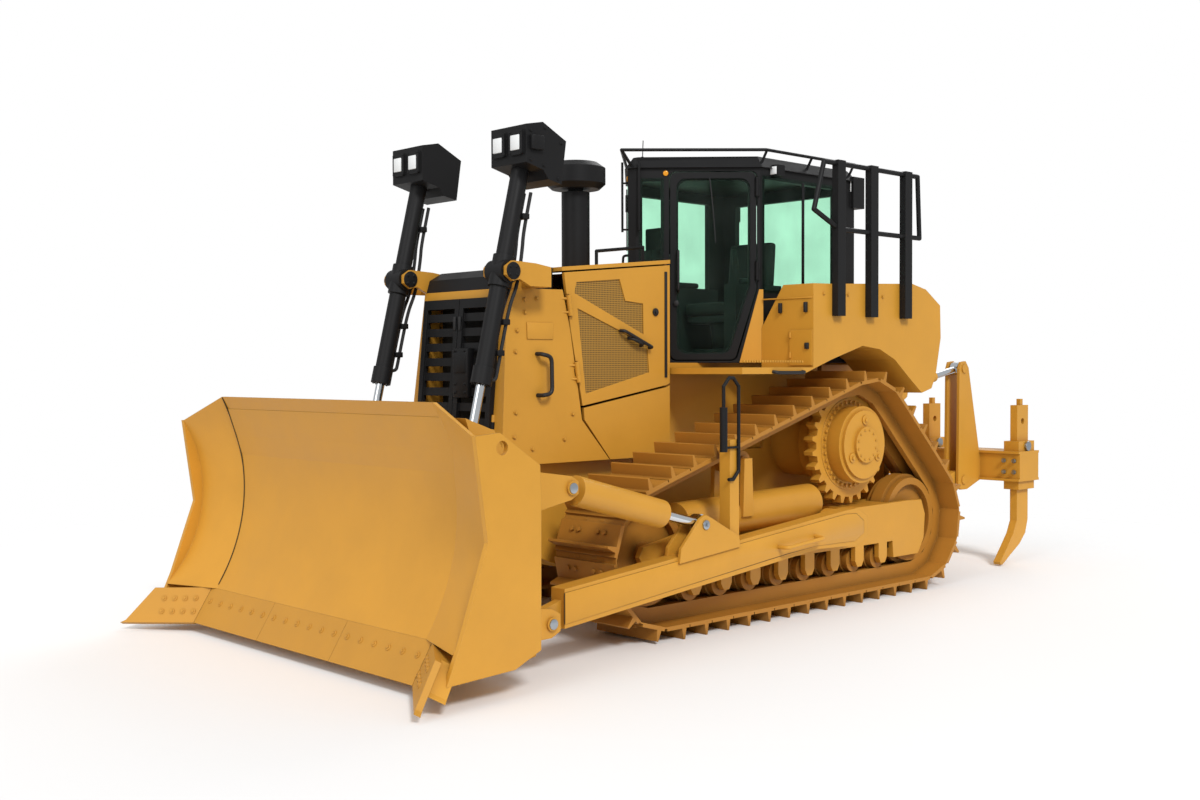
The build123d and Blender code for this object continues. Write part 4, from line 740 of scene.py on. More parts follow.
@dataclass
class BladeTrim:
    """Plough bolts of the cutting edges and end bits, and a painted shadow at a wing's joint."""

    edge_top: tuple[float, float] = (3.573, 0.318)
    edge_foot: tuple[float, float] = (3.723, 0.076)
    edge_half: float = 1.366
    edges: int = 3
    edge_bolts: int = 6
    edge_bolt_share: float = 0.36
    edge_proud: float = 0.005
    bit_tip: tuple[float, float, float] = (4.061, 1.856, 0.057)
    bit_gap: float = 0.003
    bit_rows: tuple[float, float] = (0.085, 0.185)
    bit_bolts: int = 4
    bit_start: float = 0.02
    bit_pitch: float = 0.085
    bit_proud: float = 0.006
    ring_radius: float = 0.021
    head_radius: float = 0.012
    ahead: float = 4.4
    seam_y: float = -1.3
    seam_z: tuple[float, float] = (0.345, 1.725)
    seam_steps: int = 14
    seam_radius: float = 0.005

    def plough_bolt(self, shape: Shape, at: Vector, out: Vector, proud: float) -> None:
        """Add a plough bolt: a round seat with a square head in it.

        Args:
            shape: The shape that gets the bolt.
            at: The middle of the bolt on the plate.
            out: The direction out of the plate.
            proud: How far the round seat stands out.
        """
        shape.rod(at - out * 0.004, at + out * proud, self.ring_radius, 16, 0.002)
        shape.rod(at + out * (proud - 0.001), at + out * (proud + 0.006), self.head_radius, 4)

    def bolts(self, shop: Workshop) -> None:
        """Make the bolts of the edges and the end bits.

        Args:
            shop: The workshop.
        """
        (x0, z0), (x1, z1) = self.edge_top, self.edge_foot
        out = Vector((z0 - z1, 0, x1 - x0)).normalized()
        shape = Shape()
        count = self.edges * self.edge_bolts
        x, z = x0 + self.edge_bolt_share * (x1 - x0), z0 + self.edge_bolt_share * (z1 - z0)
        for index in range(count):
            y = self.edge_half * (2 * (index + 0.5) / count - 1)
            self.plough_bolt(shape, Vector((x, y, z)), out, self.edge_proud)
        for _, side in SIDES:
            foot = Vector((x1, side * (self.edge_half + self.bit_gap), z1))
            top = Vector((x0, foot.y, z0))
            along = (mirrored(side, self.bit_tip) - foot).normalized()
            face = along.cross(top - foot).normalized() * side
            up = face.cross(along) * side
            for row in self.bit_rows:
                for step in range(self.bit_bolts):
                    at = foot + along * (self.bit_start + self.bit_pitch * step) + up * row
                    self.plough_bolt(shape, at, face, self.bit_proud)
        shop.hang("blade_bolts", shape, EDGE, "blade")

    def on_face(self, y: float, z: float) -> Vector:
        """Find a point of the blade's front face.

        Args:
            y: Its place across.
            z: Its height.

        Returns:
            The point.
        """
        blade = frame["nodes"]["blade"]
        inward = blade.matrix_world.inverted()
        start = inward @ Vector((self.ahead, y, z))
        aim = (inward.to_3x3() @ Vector((-1, 0, 0))).normalized()
        hit, place, _, _ = blade.ray_cast(start, aim)
        return blade.matrix_world @ place if hit else Vector((self.edge_top[0], y, z))

    def seam(self, shop: Workshop) -> None:
        """Draw a painted shadow line along the joint of the middle and the right wing.

        Args:
            shop: The workshop.
        """
        low, high = self.seam_z
        run = [self.on_face(self.seam_y, low + (high - low) * step / self.seam_steps)
               for step in range(self.seam_steps + 1)]
        shop.pipes("blade_seam_shadow", [run], self.seam_radius, SHADOW_LINE, "blade")

    def build(self, shop: Workshop) -> None:
        """Build all of it."""
        self.bolts(shop)
        self.seam(shop)


@dataclass
class ArmTrim:
    """What is fixed to the push arms: outer plates, steps and pin caps."""

    outer_y: float = 1.455
    outline: tuple = ((2.600, 0.300), (2.600, 0.500), (-0.380, 0.775), (-0.520, 0.770),
                      (-0.620, 0.705), (-0.620, 0.610), (-0.500, 0.555), (0.0, 0.560),
                      (0.35, 0.535))
    plate_thickness: float = 0.007
    seam_thickness: float = 0.002
    seam_width: float = 0.006
    # x, distance out from the arm, z
    step_path: tuple = ((0.02, 0.0, 0.640), (0.02, 0.08, 0.630), (0.04, 0.10, 0.628),
                        (0.08, 0.10, 0.626), (0.40, 0.10, 0.600), (0.44, 0.10, 0.597),
                        (0.46, 0.08, 0.595), (0.46, 0.0, 0.595))
    step_radius: float = 0.016
    tilt_pin: tuple[float, float, float] = (1.290, 1.478, 0.830)
    tilt_cap: float = 0.014
    blade_pins: tuple = ((2.725, 1.488, 0.320), (2.645, 1.591, 1.180))
    cap_radius: float = 0.034

    def plate(self, shop: Workshop, name: str, side: int) -> None:
        """Make the outer plate with a painted shadow line round it, and the step bar.

        Args:
            shop: The workshop.
            name: The side's name.
            side: 1 for the left, -1 for the right.
        """
        body = f"push_arm_{name}"
        out = Vector((0, side, 0))
        points = [mirrored(side, (x, self.outer_y, z)) for x, z in self.outline]
        shape = Shape()
        shape.plate(points, out, self.plate_thickness, 0.003)
        shop.hang(f"arm_plate_{name}", shape, YELLOW, body)
        middle = sum(points, Vector()) / len(points)
        # A dark strip just wider than the plate: painted shadow under its edge.
        edge = Shape()
        edge.plate([v + (v - middle).normalized() * self.seam_width for v in points], out,
                   self.seam_thickness)
        shop.hang(f"arm_plate_seam_shadow_{name}", edge, SHADOW_LINE, body)
        run = [mirrored(side, (x, self.outer_y + off, z)) for x, off, z in self.step_path]
        shop.pipes(f"arm_step_{name}", [run], self.step_radius, YELLOW, body)

    def caps(self, shop: Workshop, name: str, side: int) -> None:
        """Make the caps on the arm's and the blade's pins.

        Args:
            shop: The workshop.
            name: The side's name.
            side: 1 for the left, -1 for the right.
        """
        out = Vector((0, side, 0))
        cap = Shape()
        foot = mirrored(side, self.tilt_pin)
        cap.rod(foot, foot + out * self.tilt_cap, self.cap_radius, 24, 0.004)
        cap.bolt(foot + out * self.tilt_cap, out, 0.022)
        shop.hang(f"arm_pin_cap_{name}", cap, CAP, f"push_arm_{name}")
        face = Shape()
        for place in self.blade_pins:
            at = mirrored(side, place)
            face.rod(at - out * 0.002, at + out * 0.008, self.cap_radius, 24, 0.003)
        shop.hang(f"blade_pin_cap_{name}", face, CAP, "blade")

    def build(self, shop: Workshop) -> None:
        """Build all of it."""
        for name, side in SIDES:
            self.plate(shop, name, side)
            self.caps(shop, name, side)


@dataclass
class TrackTrim:
    """Shoe bolts, and the bolts and plugs of the final drives."""

    pad_area: float = 0.03
    shoe_rows: tuple = (-0.165, -0.095, 0.095, 0.165)
    shoe_shift: float = 0.012
    shoe_head: tuple[float, float] = (0.017, 0.016)
    ring_bolts: int = 36
    ring_radius: float = 0.352
    ring_y: float = 1.045
    plugs: int = 3
    plug_radius: float = 0.205
    plug_y: float = 1.199
    cover_bolts: int = 12
    cover_radius: float = 0.125
    cover_y: float = 1.225

    def pads(self, node: bpy.types.Object) -> list:
        """Find the flat outer pads of a track's shoes.

        Args:
            node: The track's node.

        Returns:
            The middle and the outward direction of each pad.
        """
        halves: dict = {}
        mesh = node.data
        for face in mesh.polygons:
            if abs(face.normal.y) > 0.01 or face.area < self.pad_area:
                continue
            spots = [mesh.vertices[i].co for i in face.vertices]
            sides = [(spots[i] - spots[i - 1]) for i in range(len(spots))]
            longest = max(range(len(sides)), key=lambda i: sides[i].length)
            middle = (spots[longest] + spots[longest - 1]) / 2
            key = tuple(round(v, 2) for v in middle)
            halves.setdefault(key, []).append((middle, face.normal.copy(), face.area))
        return [(found[0][0], found[0][1]) for found in halves.values()
                if sum(area for _, _, area in found) > 2 * self.pad_area]

    def shoes(self, shop: Workshop, name: str) -> None:
        """Bolt the shoes of one track.

        Args:
            shop: The workshop.
            name: The side's name.
        """
        shape = Shape()
        low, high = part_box(f"track_{name}")
        heart = (Vector(low) + Vector(high)) / 2
        radius, height = self.shoe_head
        for middle, out in self.pads(frame["nodes"][f"track_{name}"]):
            if (middle - heart).dot(out) < 0:
                continue
            along = out.cross(Vector((0, 1, 0)))
            for row in self.shoe_rows:
                at = middle + Vector((0, row, 0)) + along * self.shoe_shift
                shape.rod(at - out * 0.002, at + out * height, radius, 6)
        shop.hang(f"shoe_bolts_{name}", shape, TRACK, "machine")

    def hub(self, shop: Workshop, name: str, side: int) -> None:
        """Bolt the sprocket's ring and the covers of one final drive.

        Args:
            shop: The workshop.
            name: The side's name.
            side: 1 for the left, -1 for the right.
        """
        low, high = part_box(f"final_drive_{name}")
        x, z = (low[0] + high[0]) / 2, (low[2] + high[2]) / 2
        hub = Shape()
        out = Vector((0, side, 0))
        for dx, dz in circle(self.ring_bolts, 0, self.ring_radius):
            hub.bolt((x + dx, side * self.ring_y, z + dz), out, 0.027)
        for dx, dz in circle(self.plugs, 90, self.plug_radius):
            at = Vector((x + dx, side * self.plug_y, z + dz))
            hub.rod(at, at + out * 0.012, 0.040, 24, 0.003)
            hub.rod(at + out * 0.011, at + out * 0.024, 0.018, 6)
        for dx, dz in circle(self.cover_bolts, 180 / self.cover_bolts, self.cover_radius):
            hub.bolt((x + dx, side * self.cover_y, z + dz), out, 0.014)
        shop.hang(f"hub_bolts_{name}", hub, YELLOW, "machine")

    def build(self, shop: Workshop) -> None:
        """Build all of it."""
        for name, side in SIDES:
            self.shoes(shop, name)
            self.hub(shop, name, side)


@dataclass
class LiftTrim:
    """What the lift cylinders carry: lamp lenses, steel lines, clamps and screws."""

    top: tuple[float, float, float] = (2.407, 0.600, 2.600)
    eye: tuple[float, float, float] = (2.864, 0.600, 0.700)
    lamp_gap: float = 0.095
    lens_middle: tuple[float, float] = (2.363, 3.480)
    lens_size: tuple[float, float, float] = (0.012, 0.092, 0.104)
    frame_x: float = 2.360
    frame_bolts: tuple[float, float] = (0.058, 0.072)
    cheek_y: float = 0.790
    cheek_bolts: tuple = ((2.30, 3.36), (2.30, 3.56), (2.17, 3.59), (2.02, 3.50), (2.05, 3.25),
                          (2.18, 3.33))
    side_box: tuple[float, float, float] = (2.255, 0.805, 3.48)
    side_box_size: tuple[float, float, float] = (0.11, 0.036, 0.10)
    # distance below the trunnion, distance behind the axis
    line_path: tuple = ((-0.60, 0.10), (-0.52, 0.10), (-0.30, 0.10), (-0.20, 0.115),
                        (-0.05, 0.125), (0.08, 0.125), (0.22, 0.095), (0.45, 0.092))
    line_end: tuple = ((0.66, 0.092), (0.72, 0.090), (0.725, 0.040))
    line_gap: float = 0.035
    line_radius: float = 0.013
    clamp_runs: tuple = (-0.42, 0.34, 0.56)
    clamp_back: float = 0.078
    clamp_size: tuple[float, float, float] = (0.060, 0.124, 0.040)
    gland_run: float = 0.800
    gland_radius: float = 0.055
    trunnion_half: float = 0.125
    trunnion_cap: tuple[float, float] = (0.060, 0.010)
    trunnion_bolts: float = 0.040

    def at(self, side: int, run: float, back: float = 0.0, across: float = 0.0) -> Vector:
        """A point beside a cylinder.

        Args:
            side: 1 for the left cylinder, -1 for the right.
            run: The distance below the trunnion.
            back: The distance behind the axis.
            across: The distance outward from the axis.

        Returns:
            The point.
        """
        start, end = mirrored(side, self.top), mirrored(side, self.eye)
        down = (end - start).normalized()
        rear = Vector((down.z, 0, -down.x))
        return start + down * run + rear * back + Vector((0, side * across, 0))

    def lamp(self, shop: Workshop, name: str, side: int) -> None:
        """Make the lamp's lenses, its screws and the box on its cheek.

        Args:
            shop: The workshop.
            name: The side's name.
            side: 1 for the left, -1 for the right.
        """
        body = f"lift_barrel_{name}"
        lens, rims = Shape(), Shape()
        x, z = self.lens_middle
        wide, tall = self.frame_bolts
        for row in (-1, 1):
            y = side * self.top[1] + row * self.lamp_gap
            lens.slab((x, y, z), self.lens_size, 0.008)
            for dz in (tall, -tall):
                for dy in (-wide, wide):
                    rims.bolt((self.frame_x, y + dy, z + dz), (1, 0, 0), 0.010)
        shop.hang(f"lamp_lens_{name}", lens, LENS, body)
        for x, z in self.cheek_bolts:
            rims.bolt((x, side * self.cheek_y, z), (0, side, 0), 0.016)
        rims.slab(mirrored(side, self.side_box), self.side_box_size, 0.008)
        shop.hang(f"lamp_fixings_{name}", rims, BLACK, body)

    def lines(self, shop: Workshop, name: str, side: int) -> None:
        """Make the steel lines, their clamps and the gland's bolts.

        Args:
            shop: The workshop.
            name: The side's name.
            side: 1 for the left, -1 for the right.
        """
        body = f"lift_barrel_{name}"
        runs = []
        for across in (-self.line_gap, self.line_gap):
            path = self.line_path + tuple((run + across, back) for run, back in self.line_end)
            runs.append([self.at(side, run, back, across) for run, back in path])
        shop.pipes(f"cylinder_lines_{name}", runs, self.line_radius, RUBBER,
                   body)
        clamps = Shape()
        for run in self.clamp_runs:
            clamps.slab(self.at(side, run, self.clamp_back), self.clamp_size, 0.005)
        down = self.at(side, 1.0) - self.at(side, 0.0)
        for back, across in circle(8, 0, self.gland_radius):
            clamps.bolt(self.at(side, self.gland_run, back, across), down, 0.013)
        shop.hang(f"cylinder_clamps_{name}", clamps, BLACK, body)

    def caps(self, shop: Workshop, name: str, side: int) -> None:
        """Make the trunnion's caps on both sides of the cylinder.

        Args:
            shop: The workshop.
            name: The side's name.
            side: 1 for the left, -1 for the right.
        """
        caps = Shape()
        radius, height = self.trunnion_cap
        for way in (side, -side):
            out = Vector((0, way, 0))
            middle = mirrored(side, self.top) + out * self.trunnion_half
            caps.rod(middle, middle + out * height, radius, 24, 0.003)
            for dx, dz in circle(4, 45, self.trunnion_bolts):
                caps.bolt(middle + Vector((dx, 0, dz)) + out * height, out, 0.014)
        shop.hang(f"trunnion_caps_{name}", caps, BLACK, "machine")

    def build(self, shop: Workshop) -> None:
        """Build all of it."""
        for name, side in SIDES:
            self.lamp(shop, name, side)
            self.lines(shop, name, side)
            self.caps(shop, name, side)


@dataclass
class EngineBayTrim:
    """Perforated sheets, handles and latches of the engine doors and the guard."""

    upper: tuple = ((1.680, 2.560), (1.240, 2.600), (1.180, 2.440), (0.990, 2.425),
                    (0.985, 2.190), (1.700, 2.480))
    lower: tuple = ((1.670, 2.370), (0.945, 2.110), (0.925, 1.900), (1.590, 1.745))
    sheet_y: float = 0.5585
    sheet_thickness: float = 0.003
    door_y: float = 0.570
    # x, distance out from the door, z
    handle: tuple = ((1.235, 0.0, 2.214), (1.235, 0.035, 2.214), (1.220, 0.045, 2.208),
                     (1.180, 0.045, 2.192), (0.985, 0.045, 2.112), (0.945, 0.045, 2.096),
                     (0.930, 0.035, 2.090), (0.930, 0.0, 2.090))
    handle_feet: tuple = ((1.150, 0.0, 2.160), (1.150, 0.045, 2.160), (1.02, 0.045, 2.105),
                          (1.02, 0.0, 2.105))
    handle_radius: float = 0.013
    latch: tuple[float, float] = (0.859, 2.364)
    strip: tuple = ((0.73, 1.86), (0.755, 2.68))
    # x, distance out from the guard, z
    grip: tuple = ((2.04, 0.0, 2.035), (2.04, 0.05, 2.035), (2.035, 0.07, 2.030),
                   (1.985, 0.07, 2.020), (1.965, 0.07, 1.995), (1.965, 0.07, 1.930),
                   (1.965, 0.07, 1.840), (1.965, 0.07, 1.775), (1.985, 0.07, 1.750),
                   (2.035, 0.07, 1.742), (2.04, 0.05, 1.740), (2.04, 0.0, 1.740))
    grip_radius: float = 0.015
    guard_bolts: tuple = ((2.13, 2.42), (2.13, 2.33), (2.03, 2.43), (2.20, 2.20), (2.22, 2.05),
                          (2.24, 1.62), (2.26, 1.45), (1.72, 1.60), (1.80, 1.42), (2.10, 1.36))
    label_plate: tuple = ((1.90, 2.14), (2.12, 2.14), (2.12, 2.26), (1.90, 2.26))

    def door(self, shop: Workshop, name: str, side: int) -> None:
        """Make what one engine door carries.

        Args:
            shop: The workshop.
            name: The side's name.
            side: 1 for the left, -1 for the right.
        """
        body = f"engine_door_{name}"
        out = Vector((0, side, 0))
        mesh = Shape()
        for outline in (self.upper, self.lower):
            mesh.plate([mirrored(side, (x, self.sheet_y, z)) for x, z in outline], out,
                       self.sheet_thickness)
        shop.hang(f"engine_mesh_{name}", mesh, MESH, body)
        runs = [[mirrored(side, (x, self.door_y + off, z)) for x, off, z in path]
                for path in (self.handle, self.handle_feet)]
        shop.pipes(f"engine_handle_{name}", runs, self.handle_radius, RUBBER,
                   body)
        knob = Shape()
        foot = mirrored(side, (self.latch[0], self.door_y, self.latch[1]))
        knob.rod(foot, foot + out * 0.012, 0.030, 24, 0.003)
        knob.rod(foot + out * 0.010, foot + out * 0.024, 0.016, 12, 0.003)
        (x0, z0), (x1, z1) = self.strip
        knob.block((x0, foot.y - 0.004, z0), (x1, foot.y + side * 0.006 + 0.002, z1), 0.002)
        shop.hang(f"engine_latch_{name}", knob, RUBBER, body)

    def guard_y(self, x: float, z: float) -> float:
        """Half the width of the tapering guard at a place.

        Args:
            x: The place along.
            z: The height.

        Returns:
            The half width.
        """
        share = (z - 1.250) / 1.250
        front, half = 2.380 - 0.115 * share, 0.560 - 0.075 * share
        kink = 1.600 + 0.215 * share
        return self.door_y - (self.door_y - half) * max(0.0, x - kink) / (front - kink)

    def guard_side(self, shop: Workshop, name: str, side: int) -> None:
        """Make the climbing handle and the bolts on the guard's side.

        Args:
            shop: The workshop.
            name: The side's name.
            side: 1 for the left, -1 for the right.
        """
        def on(x: float, z: float, off: float = 0.0) -> Vector:
            """A point off the guard's side."""
            return mirrored(side, (x, self.guard_y(x, z) + off, z))

        shop.pipes(f"guard_handle_{name}", [[on(x, z, off) for x, off, z in self.grip]],
                   self.grip_radius, RUBBER, "machine")
        bolts = Shape()
        out = Vector((0, side, 0))
        for x, z in self.guard_bolts:
            bolts.bolt(on(x, z), out, 0.022)
        bolts.plate([on(x, z) for x, z in self.label_plate], out, 0.008, 0.002)
        shop.hang(f"guard_bolts_{name}", bolts, YELLOW, "machine")

    def build(self, shop: Workshop) -> None:
        """Build all of it."""
        for name, side in SIDES:
            self.door(shop, name, side)
            self.guard_side(shop, name, side)


@dataclass
class FrontTrim:
    """The box on the grille, and the latches of the grille doors."""

    box: tuple = ((2.325, 0.012, 1.720), (2.392, 0.190, 2.080))
    lid: tuple = ((2.350, 0.030, 1.900), (2.402, 0.172, 2.050))
    screw_x: float = 2.392
    screw_y: tuple[float, float] = (0.045, 0.160)
    screw_z: tuple[float, float, float] = (1.76, 1.82, 2.06)
    latch_z: tuple[float, float] = (1.52, 2.26)
    latch_y: float = 0.030
    latch_size: tuple[float, float, float] = (0.012, 0.028, 0.10)
    latch_x: float = 2.428

    def build(self, shop: Workshop) -> None:
        """Build the box and the latches.

        Args:
            shop: The workshop.
        """
        box = Shape()
        box.block(*self.box, 0.012)
        box.block(*self.lid, 0.010)
        for z in self.screw_z:
            for y in self.screw_y:
                box.bolt((self.screw_x, y, z), (1, 0, 0), 0.014)
        shop.hang("grille_box", box, BLACK, "grille_door_left")
        for name, side in SIDES:
            latch = Shape()
            for z in self.latch_z:
                x = self.latch_x - 0.115 * (z - 1.250) / 1.250
                latch.slab((x, side * self.latch_y, z), self.latch_size, 0.004)
            shop.hang(f"grille_latch_{name}", latch, RUBBER,
                      f"grille_door_{name}")


@dataclass
class CabTrim:
    """What is fixed in and on the cab: seat, controls, grips, bars and lamps."""

    # lowest corner, highest corner, bevel
    seat_blocks: tuple = (((-0.86, -0.22, 2.035), (-0.42, 0.22, 2.10), 0.010),
                          ((-0.90, -0.24, 2.32), (-0.38, 0.24, 2.385), 0.015),
                          ((-1.035, -0.20, 2.36), (-0.99, 0.20, 2.98), 0.012))
    bellows: tuple = ((-0.64, 0, 2.09), (-0.64, 0, 2.34), 0.13, 24, 0.01, 0.16)
    # name, lowest corner, highest corner, crown, lean
    pads: tuple = (("seat_cushion", (-0.92, -0.255, 2.390), (-0.355, 0.255, 2.495), 0.014, 0.0),
                   ("seat_back", (-0.985, -0.240, 2.500), (-0.895, 0.240, 3.040), 0.016, 0.045))
    pad_bevel: float = 0.030
    stick: tuple = ((-0.325, 0.365, 2.79), (-0.300, 0.365, 2.93))
    pod: tuple[float, float, float] = (-0.49, 0.365, 2.665)
    pod_size: tuple[float, float, float] = (0.26, 0.10, 0.05)
    screen: tuple = ((0.19, -0.15, 2.88), (0.24, 0.15, 3.10))
    screen_arm: tuple = ((0.25, 0, 2.80), (0.22, 0, 2.98))
    nose: tuple[float, float] = (0.545, 0.045)
    # height, distance out from the door
    grip: tuple = ((2.56, 0.0), (2.56, 0.035), (2.585, 0.045), (2.70, 0.045), (2.86, 0.045),
                   (2.885, 0.035), (2.885, 0.0))
    grip_aft: float = 0.345
    latch: tuple[float, float] = (0.330, 2.46)
    # distance aft from the nose, height
    wiper: tuple = ((0.600, 3.475), (0.610, 3.42), (0.640, 3.10), (0.650, 2.95))
    wiper_off: float = 0.012
    post: tuple[float, float, float] = (-0.72, 0.767, 3.02)
    post_size: tuple[float, float, float] = (0.03, 0.010, 0.92)
    bar_aft: float = 0.03
    bar_z: tuple[float, float] = (3.05, 3.62)
    bar_off: float = 0.045
    bar_feet: tuple[float, float] = (3.07, 3.45)
    signal: tuple[float, float] = (0.245, 3.515)
    # middle and size of each lens
    lenses: tuple = (((-0.302, 0.790, 3.544), (0.008, 0.064, 0.064)),
                     ((-1.398, 0.715, 3.52), (0.008, 0.10, 0.10)))
    aerial_foot: tuple[float, float, float] = (0.42, 0.0, 3.62)
    aerial_base: float = 0.05
    aerial_reach: float = 0.18
    aerial_lean: tuple[float, float] = (0.006, 0.015)

    def cushion(self, low: tuple, high: tuple, crown: float, lean: float = 0.0) -> Shape:
        """A crowned pad between two corners.

        Args:
            low: The lowest corner.
            high: The highest corner.
            crown: How far its broad faces swell.
            lean: How far its top leans aft.

        Returns:
            The pad's shape.
        """
        a, b = Vector(low), Vector(high)
        size, middle = b - a, (a + b) / 2
        pad = Shape()
        pad.block(low, high, self.pad_bevel)
        bmesh.ops.subdivide_edges(pad.mesh, edges=pad.mesh.edges[:], cuts=3, use_grid_fill=True)
        thin = min(range(3), key=lambda axis: size[axis])
        for vert in pad.mesh.verts:
            u = [(vert.co[axis] - middle[axis]) / (size[axis] / 2) for axis in range(3)]
            bulge = math.prod(1 - min(1, abs(u[axis])) ** 4 for axis in range(3) if axis != thin)
            vert.co[thin] += math.copysign(crown * bulge, u[thin]) if abs(u[thin]) > 0.3 else 0
            vert.co.x -= lean * (vert.co.z - a.z) / size.z
        return pad

    def seat(self, shop: Workshop) -> None:
        """Make the suspended seat: pedestal, cushion and back.

        Args:
            shop: The workshop.
        """
        base = Shape()
        for low, high, bevel in self.seat_blocks:
            base.block(low, high, bevel)
        base.rod(*self.bellows)
        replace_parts(shop.hang("seat_base", base, PLASTIC, "machine"), "seat")
        for name, low, high, crown, lean in self.pads:
            pad = shop.hang(name, self.cushion(low, high, crown, lean), VINYL,
                            "machine")
            smooth = pad.modifiers.new("round", "SUBSURF")
            smooth.levels = smooth.render_levels = 1

    def inside(self, shop: Workshop) -> None:
        """Make the control sticks, their pods and the screen.

        Args:
            shop: The workshop.
        """
        kit = Shape()
        for _, side in SIDES:
            foot, head = [mirrored(side, place) for place in self.stick]
            kit.rod(foot, head, 0.026, 16, 0.01, 0.020)
            kit.slab(mirrored(side, self.pod), self.pod_size, 0.02)
        kit.block(*self.screen, 0.012)
        kit.rod(*self.screen_arm, 0.02, 12)
        shop.hang("cab_controls", kit, PLASTIC, "machine")

    def slant(self, side: int, aft: float, z: float, off: float = 0.0) -> Vector:
        """A point on the cab's slanting face.

        Args:
            side: 1 for the left face, -1 for the right.
            aft: The distance aft from the nose.
            z: The height.
            off: The distance outward from the face.

        Returns:
            The point.
        """
        root = math.sqrt(0.5)
        x, y = self.nose
        return mirrored(side, (x + root * (off - aft), y + root * (off + aft), z))

    def door(self, shop: Workshop, name: str, side: int) -> None:
        """Make what one cab door carries: its grip, latch and wiper.

        Args:
            shop: The workshop.
            name: The side's name.
            side: 1 for the left, -1 for the right.
        """
        body = f"cab_door_{name}"
        grip = [self.slant(side, self.grip_aft, z, off) for z, off in self.grip]
        shop.pipes(f"cab_grip_{name}", [grip], 0.011, RUBBER, body)
        latch = Shape()
        latch.rod(self.slant(side, *self.latch), self.slant(side, *self.latch, 0.02), 0.022, 20,
                  0.003)
        shop.hang(f"cab_latch_{name}", latch, RUBBER, body)
        wiper = [self.slant(side, aft, z, self.wiper_off) for aft, z in self.wiper]
        shop.pipes(f"cab_wiper_{name}", [wiper], 0.006, RUBBER, body)

    def outside(self, shop: Workshop, name: str, side: int, bars: Shape) -> None:
        """Make one side's post, bar, signal and lenses.

        Args:
            shop: The workshop.
            name: The side's name.
            side: 1 for the left, -1 for the right.
            bars: The shape that gets the post and the bar.
        """
        bars.slab(mirrored(side, self.post), self.post_size, 0.002)
        bars.rod(*[self.slant(side, self.bar_aft, z, self.bar_off) for z in self.bar_z],
                 0.010, 12)
        for z in self.bar_feet:
            bars.rod(self.slant(side, self.bar_aft, z, self.bar_off),
                     self.slant(side, self.bar_aft, z, -0.01), 0.008, 10)
        lamp = Shape()
        lamp.rod(self.slant(side, *self.signal, -0.004), self.slant(side, *self.signal, 0.012),
                 0.022, 20, 0.005)
        shop.hang(f"cab_signal_{name}", lamp, AMBER, "machine")
        lens = Shape()
        for middle, size in self.lenses:
            lens.slab(mirrored(side, middle), size, 0.003)
        shop.hang(f"cab_lens_{name}", lens, LENS, "machine")

    def aerial(self, bars: Shape) -> None:
        """Add the whip aerial.

        Args:
            bars: The shape that gets it.
        """
        x, y, z = self.aerial_foot
        lean_x, lean_y = self.aerial_lean
        bars.rod((x, y, z), (x, y, z + self.aerial_base), 0.012, 12, 0.002)
        bars.rod((x, y, z), (x + lean_x, y + lean_y, z + self.aerial_reach), 0.004, 8)

    def build(self, shop: Workshop) -> None:
        """Build all of it.

        Args:
            shop: The workshop.
        """
        self.seat(shop)
        self.inside(shop)
        bars = Shape()
        for name, side in SIDES:
            self.door(shop, name, side)
            self.outside(shop, name, side, bars)
        self.aerial(bars)
        shop.hang("cab_bars", bars, BLACK, "machine")


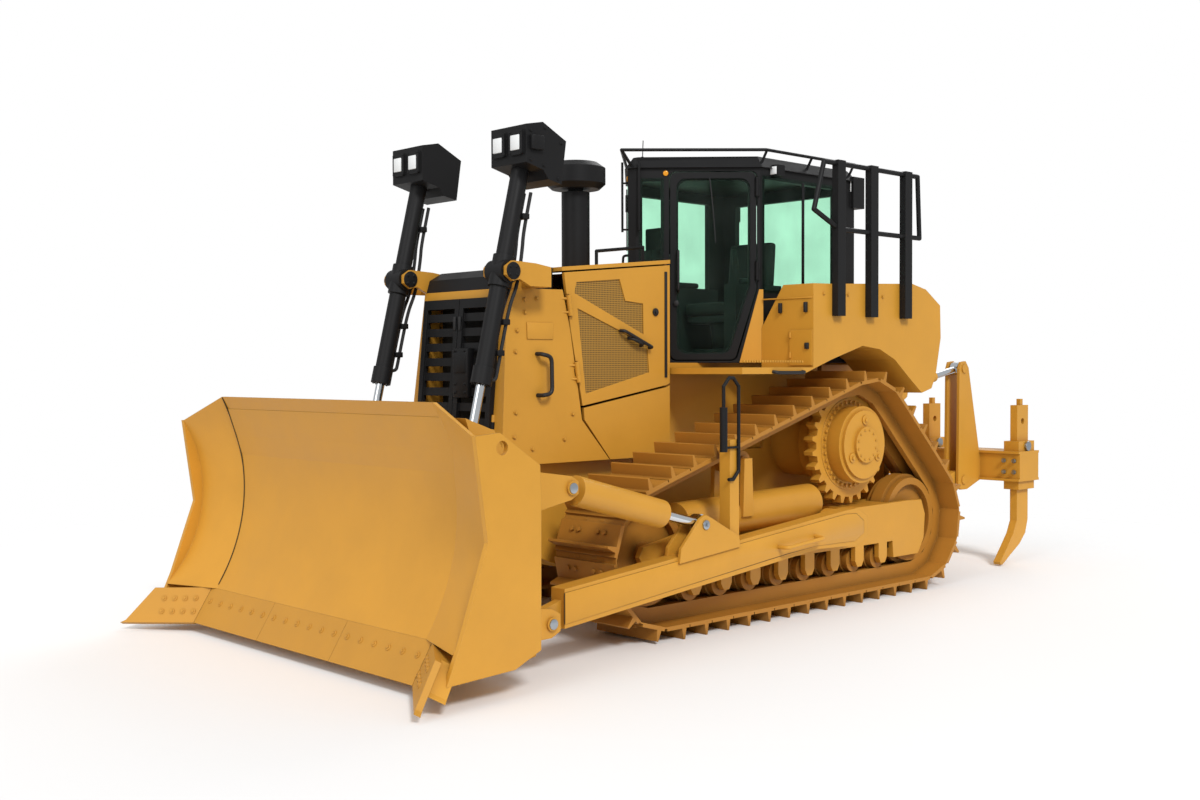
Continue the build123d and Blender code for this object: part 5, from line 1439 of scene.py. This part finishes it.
@dataclass
class FenderTrim:
    """Latches, hinges, handles and the toothed lip of the deck."""

    # middle and size of each rubber latch
    latches: tuple = (((-0.159, 0.976, 2.41), (0.026, 0.028, 0.08)),
                      ((-0.159, 1.230, 2.41), (0.026, 0.028, 0.08)),
                      ((-0.154, 1.245, 2.105), (0.016, 0.040, 0.05)))
    rail: tuple[float, float, float] = (-0.170, 1.04, 2.486)
    rail_size: tuple[float, float, float] = (0.012, 0.50, 0.012)
    bolt_x: tuple[float, float, float] = (-0.30, -0.62, -1.10)
    bolt_z: float = 2.52
    knuckles: tuple[float, float] = (2.01, 2.17)
    knuckle: tuple[float, float] = (-0.158, 1.078)
    knuckle_size: tuple[float, float] = (0.045, 0.010)
    teeth: int = 24
    tooth_start: float = -0.045
    tooth_pitch: float = 0.030
    tooth_share: float = 0.55
    tooth_inset: float = 0.012
    tooth_width: float = 0.020
    tooth_z: tuple[float, float] = (1.973, 1.989)
    # x, distance out from the deck's edge, z
    handle: tuple = ((0.33, -0.05, 1.905), (0.33, 0.025, 1.900), (0.30, 0.035, 1.895),
                     (0.10, 0.035, 1.895), (0.0, 0.035, 1.895), (-0.03, 0.025, 1.900),
                     (-0.03, -0.05, 1.905))
    handle_radius: float = 0.014

    def build(self, shop: Workshop) -> None:
        """Build what both fenders and the deck carry.

        Args:
            shop: The workshop.
        """
        _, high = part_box("fender_left")
        edge_y = high[1]
        for name, side in SIDES:
            rubber = Shape()
            for middle, size in self.latches:
                rubber.slab(mirrored(side, middle), size, 0.005)
            shop.hang(f"fender_latches_{name}", rubber, RUBBER, "machine")
            lip = Shape()
            lip.slab(mirrored(side, self.rail), self.rail_size, 0.002)
            for x in self.bolt_x:
                lip.bolt((x, side * edge_y, self.bolt_z), (0, side, 0), 0.020)
            (x, y), (tall, radius) = self.knuckle, self.knuckle_size
            for z in self.knuckles:
                lip.rod((x, side * y, z), (x, side * y, z + tall), radius, 12)
            y = side * (edge_y - self.tooth_inset)
            for index in range(self.teeth):
                x = self.tooth_start + index * self.tooth_pitch
                lip.block((x, y - self.tooth_width / 2, self.tooth_z[0]),
                          (x + self.tooth_pitch * self.tooth_share, y + self.tooth_width / 2,
                           self.tooth_z[1]), 0)
            shop.hang(f"fender_fixings_{name}", lip, YELLOW, "machine")
            run = [mirrored(side, (x, edge_y + off, z)) for x, off, z in self.handle]
            shop.pipes(f"deck_handle_{name}", [run], self.handle_radius, RUBBER,
                       "machine")


@dataclass
class RipperTrim:
    """Shank pins with their keepers, and the bolts on the beam's pockets."""

    beam_x: float = -3.870
    spacing: float = 1.0
    pin_z: float = 1.155
    pin_radius: float = 0.034
    keeper_radius: float = 0.048
    face_x: float = 0.200
    bolt_rows: tuple[float, float] = (0.905, 1.015)
    bolt_gap: float = 0.055

    def build(self, shop: Workshop) -> None:
        """Build the pins and the bolts.

        Args:
            shop: The workshop.
        """
        pins = Shape()
        for column in (-1, 0, 1):
            y, z = column * self.spacing, self.pin_z
            pins.rod((self.beam_x, y - 0.100, z), (self.beam_x, y + 0.100, z), self.pin_radius,
                     24, 0.006)
            pins.rod((self.beam_x, y + 0.092, z), (self.beam_x, y + 0.108, z),
                     self.keeper_radius, 24, 0.005)
            for z in self.bolt_rows:
                for row in (-self.bolt_gap, self.bolt_gap):
                    pins.bolt((self.beam_x + self.face_x, y + row, z), (1, 0, 0), 0.030)
        shop.hang("ripper_pins", pins, CAP, "ripper_beam")


def main() -> None:
    """Build everything in order."""
    logging.basicConfig(level=logging.INFO)
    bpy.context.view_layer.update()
    Studio().build()
    dresser = Dresser()
    dresser.dress_nodes()
    LOG.info("dressed %d nodes", len(frame["nodes"]))
    shop = Workshop(dresser)
    for part in (BladeTrim(), ArmTrim(), TrackTrim(), LiftTrim(), EngineBayTrim(), FrontTrim(),
                 CabTrim(), FenderTrim(), RipperTrim()):
        part.build(shop)
    LOG.info("made %d pieces", shop.made)


if __name__ == "__main__":
    main()
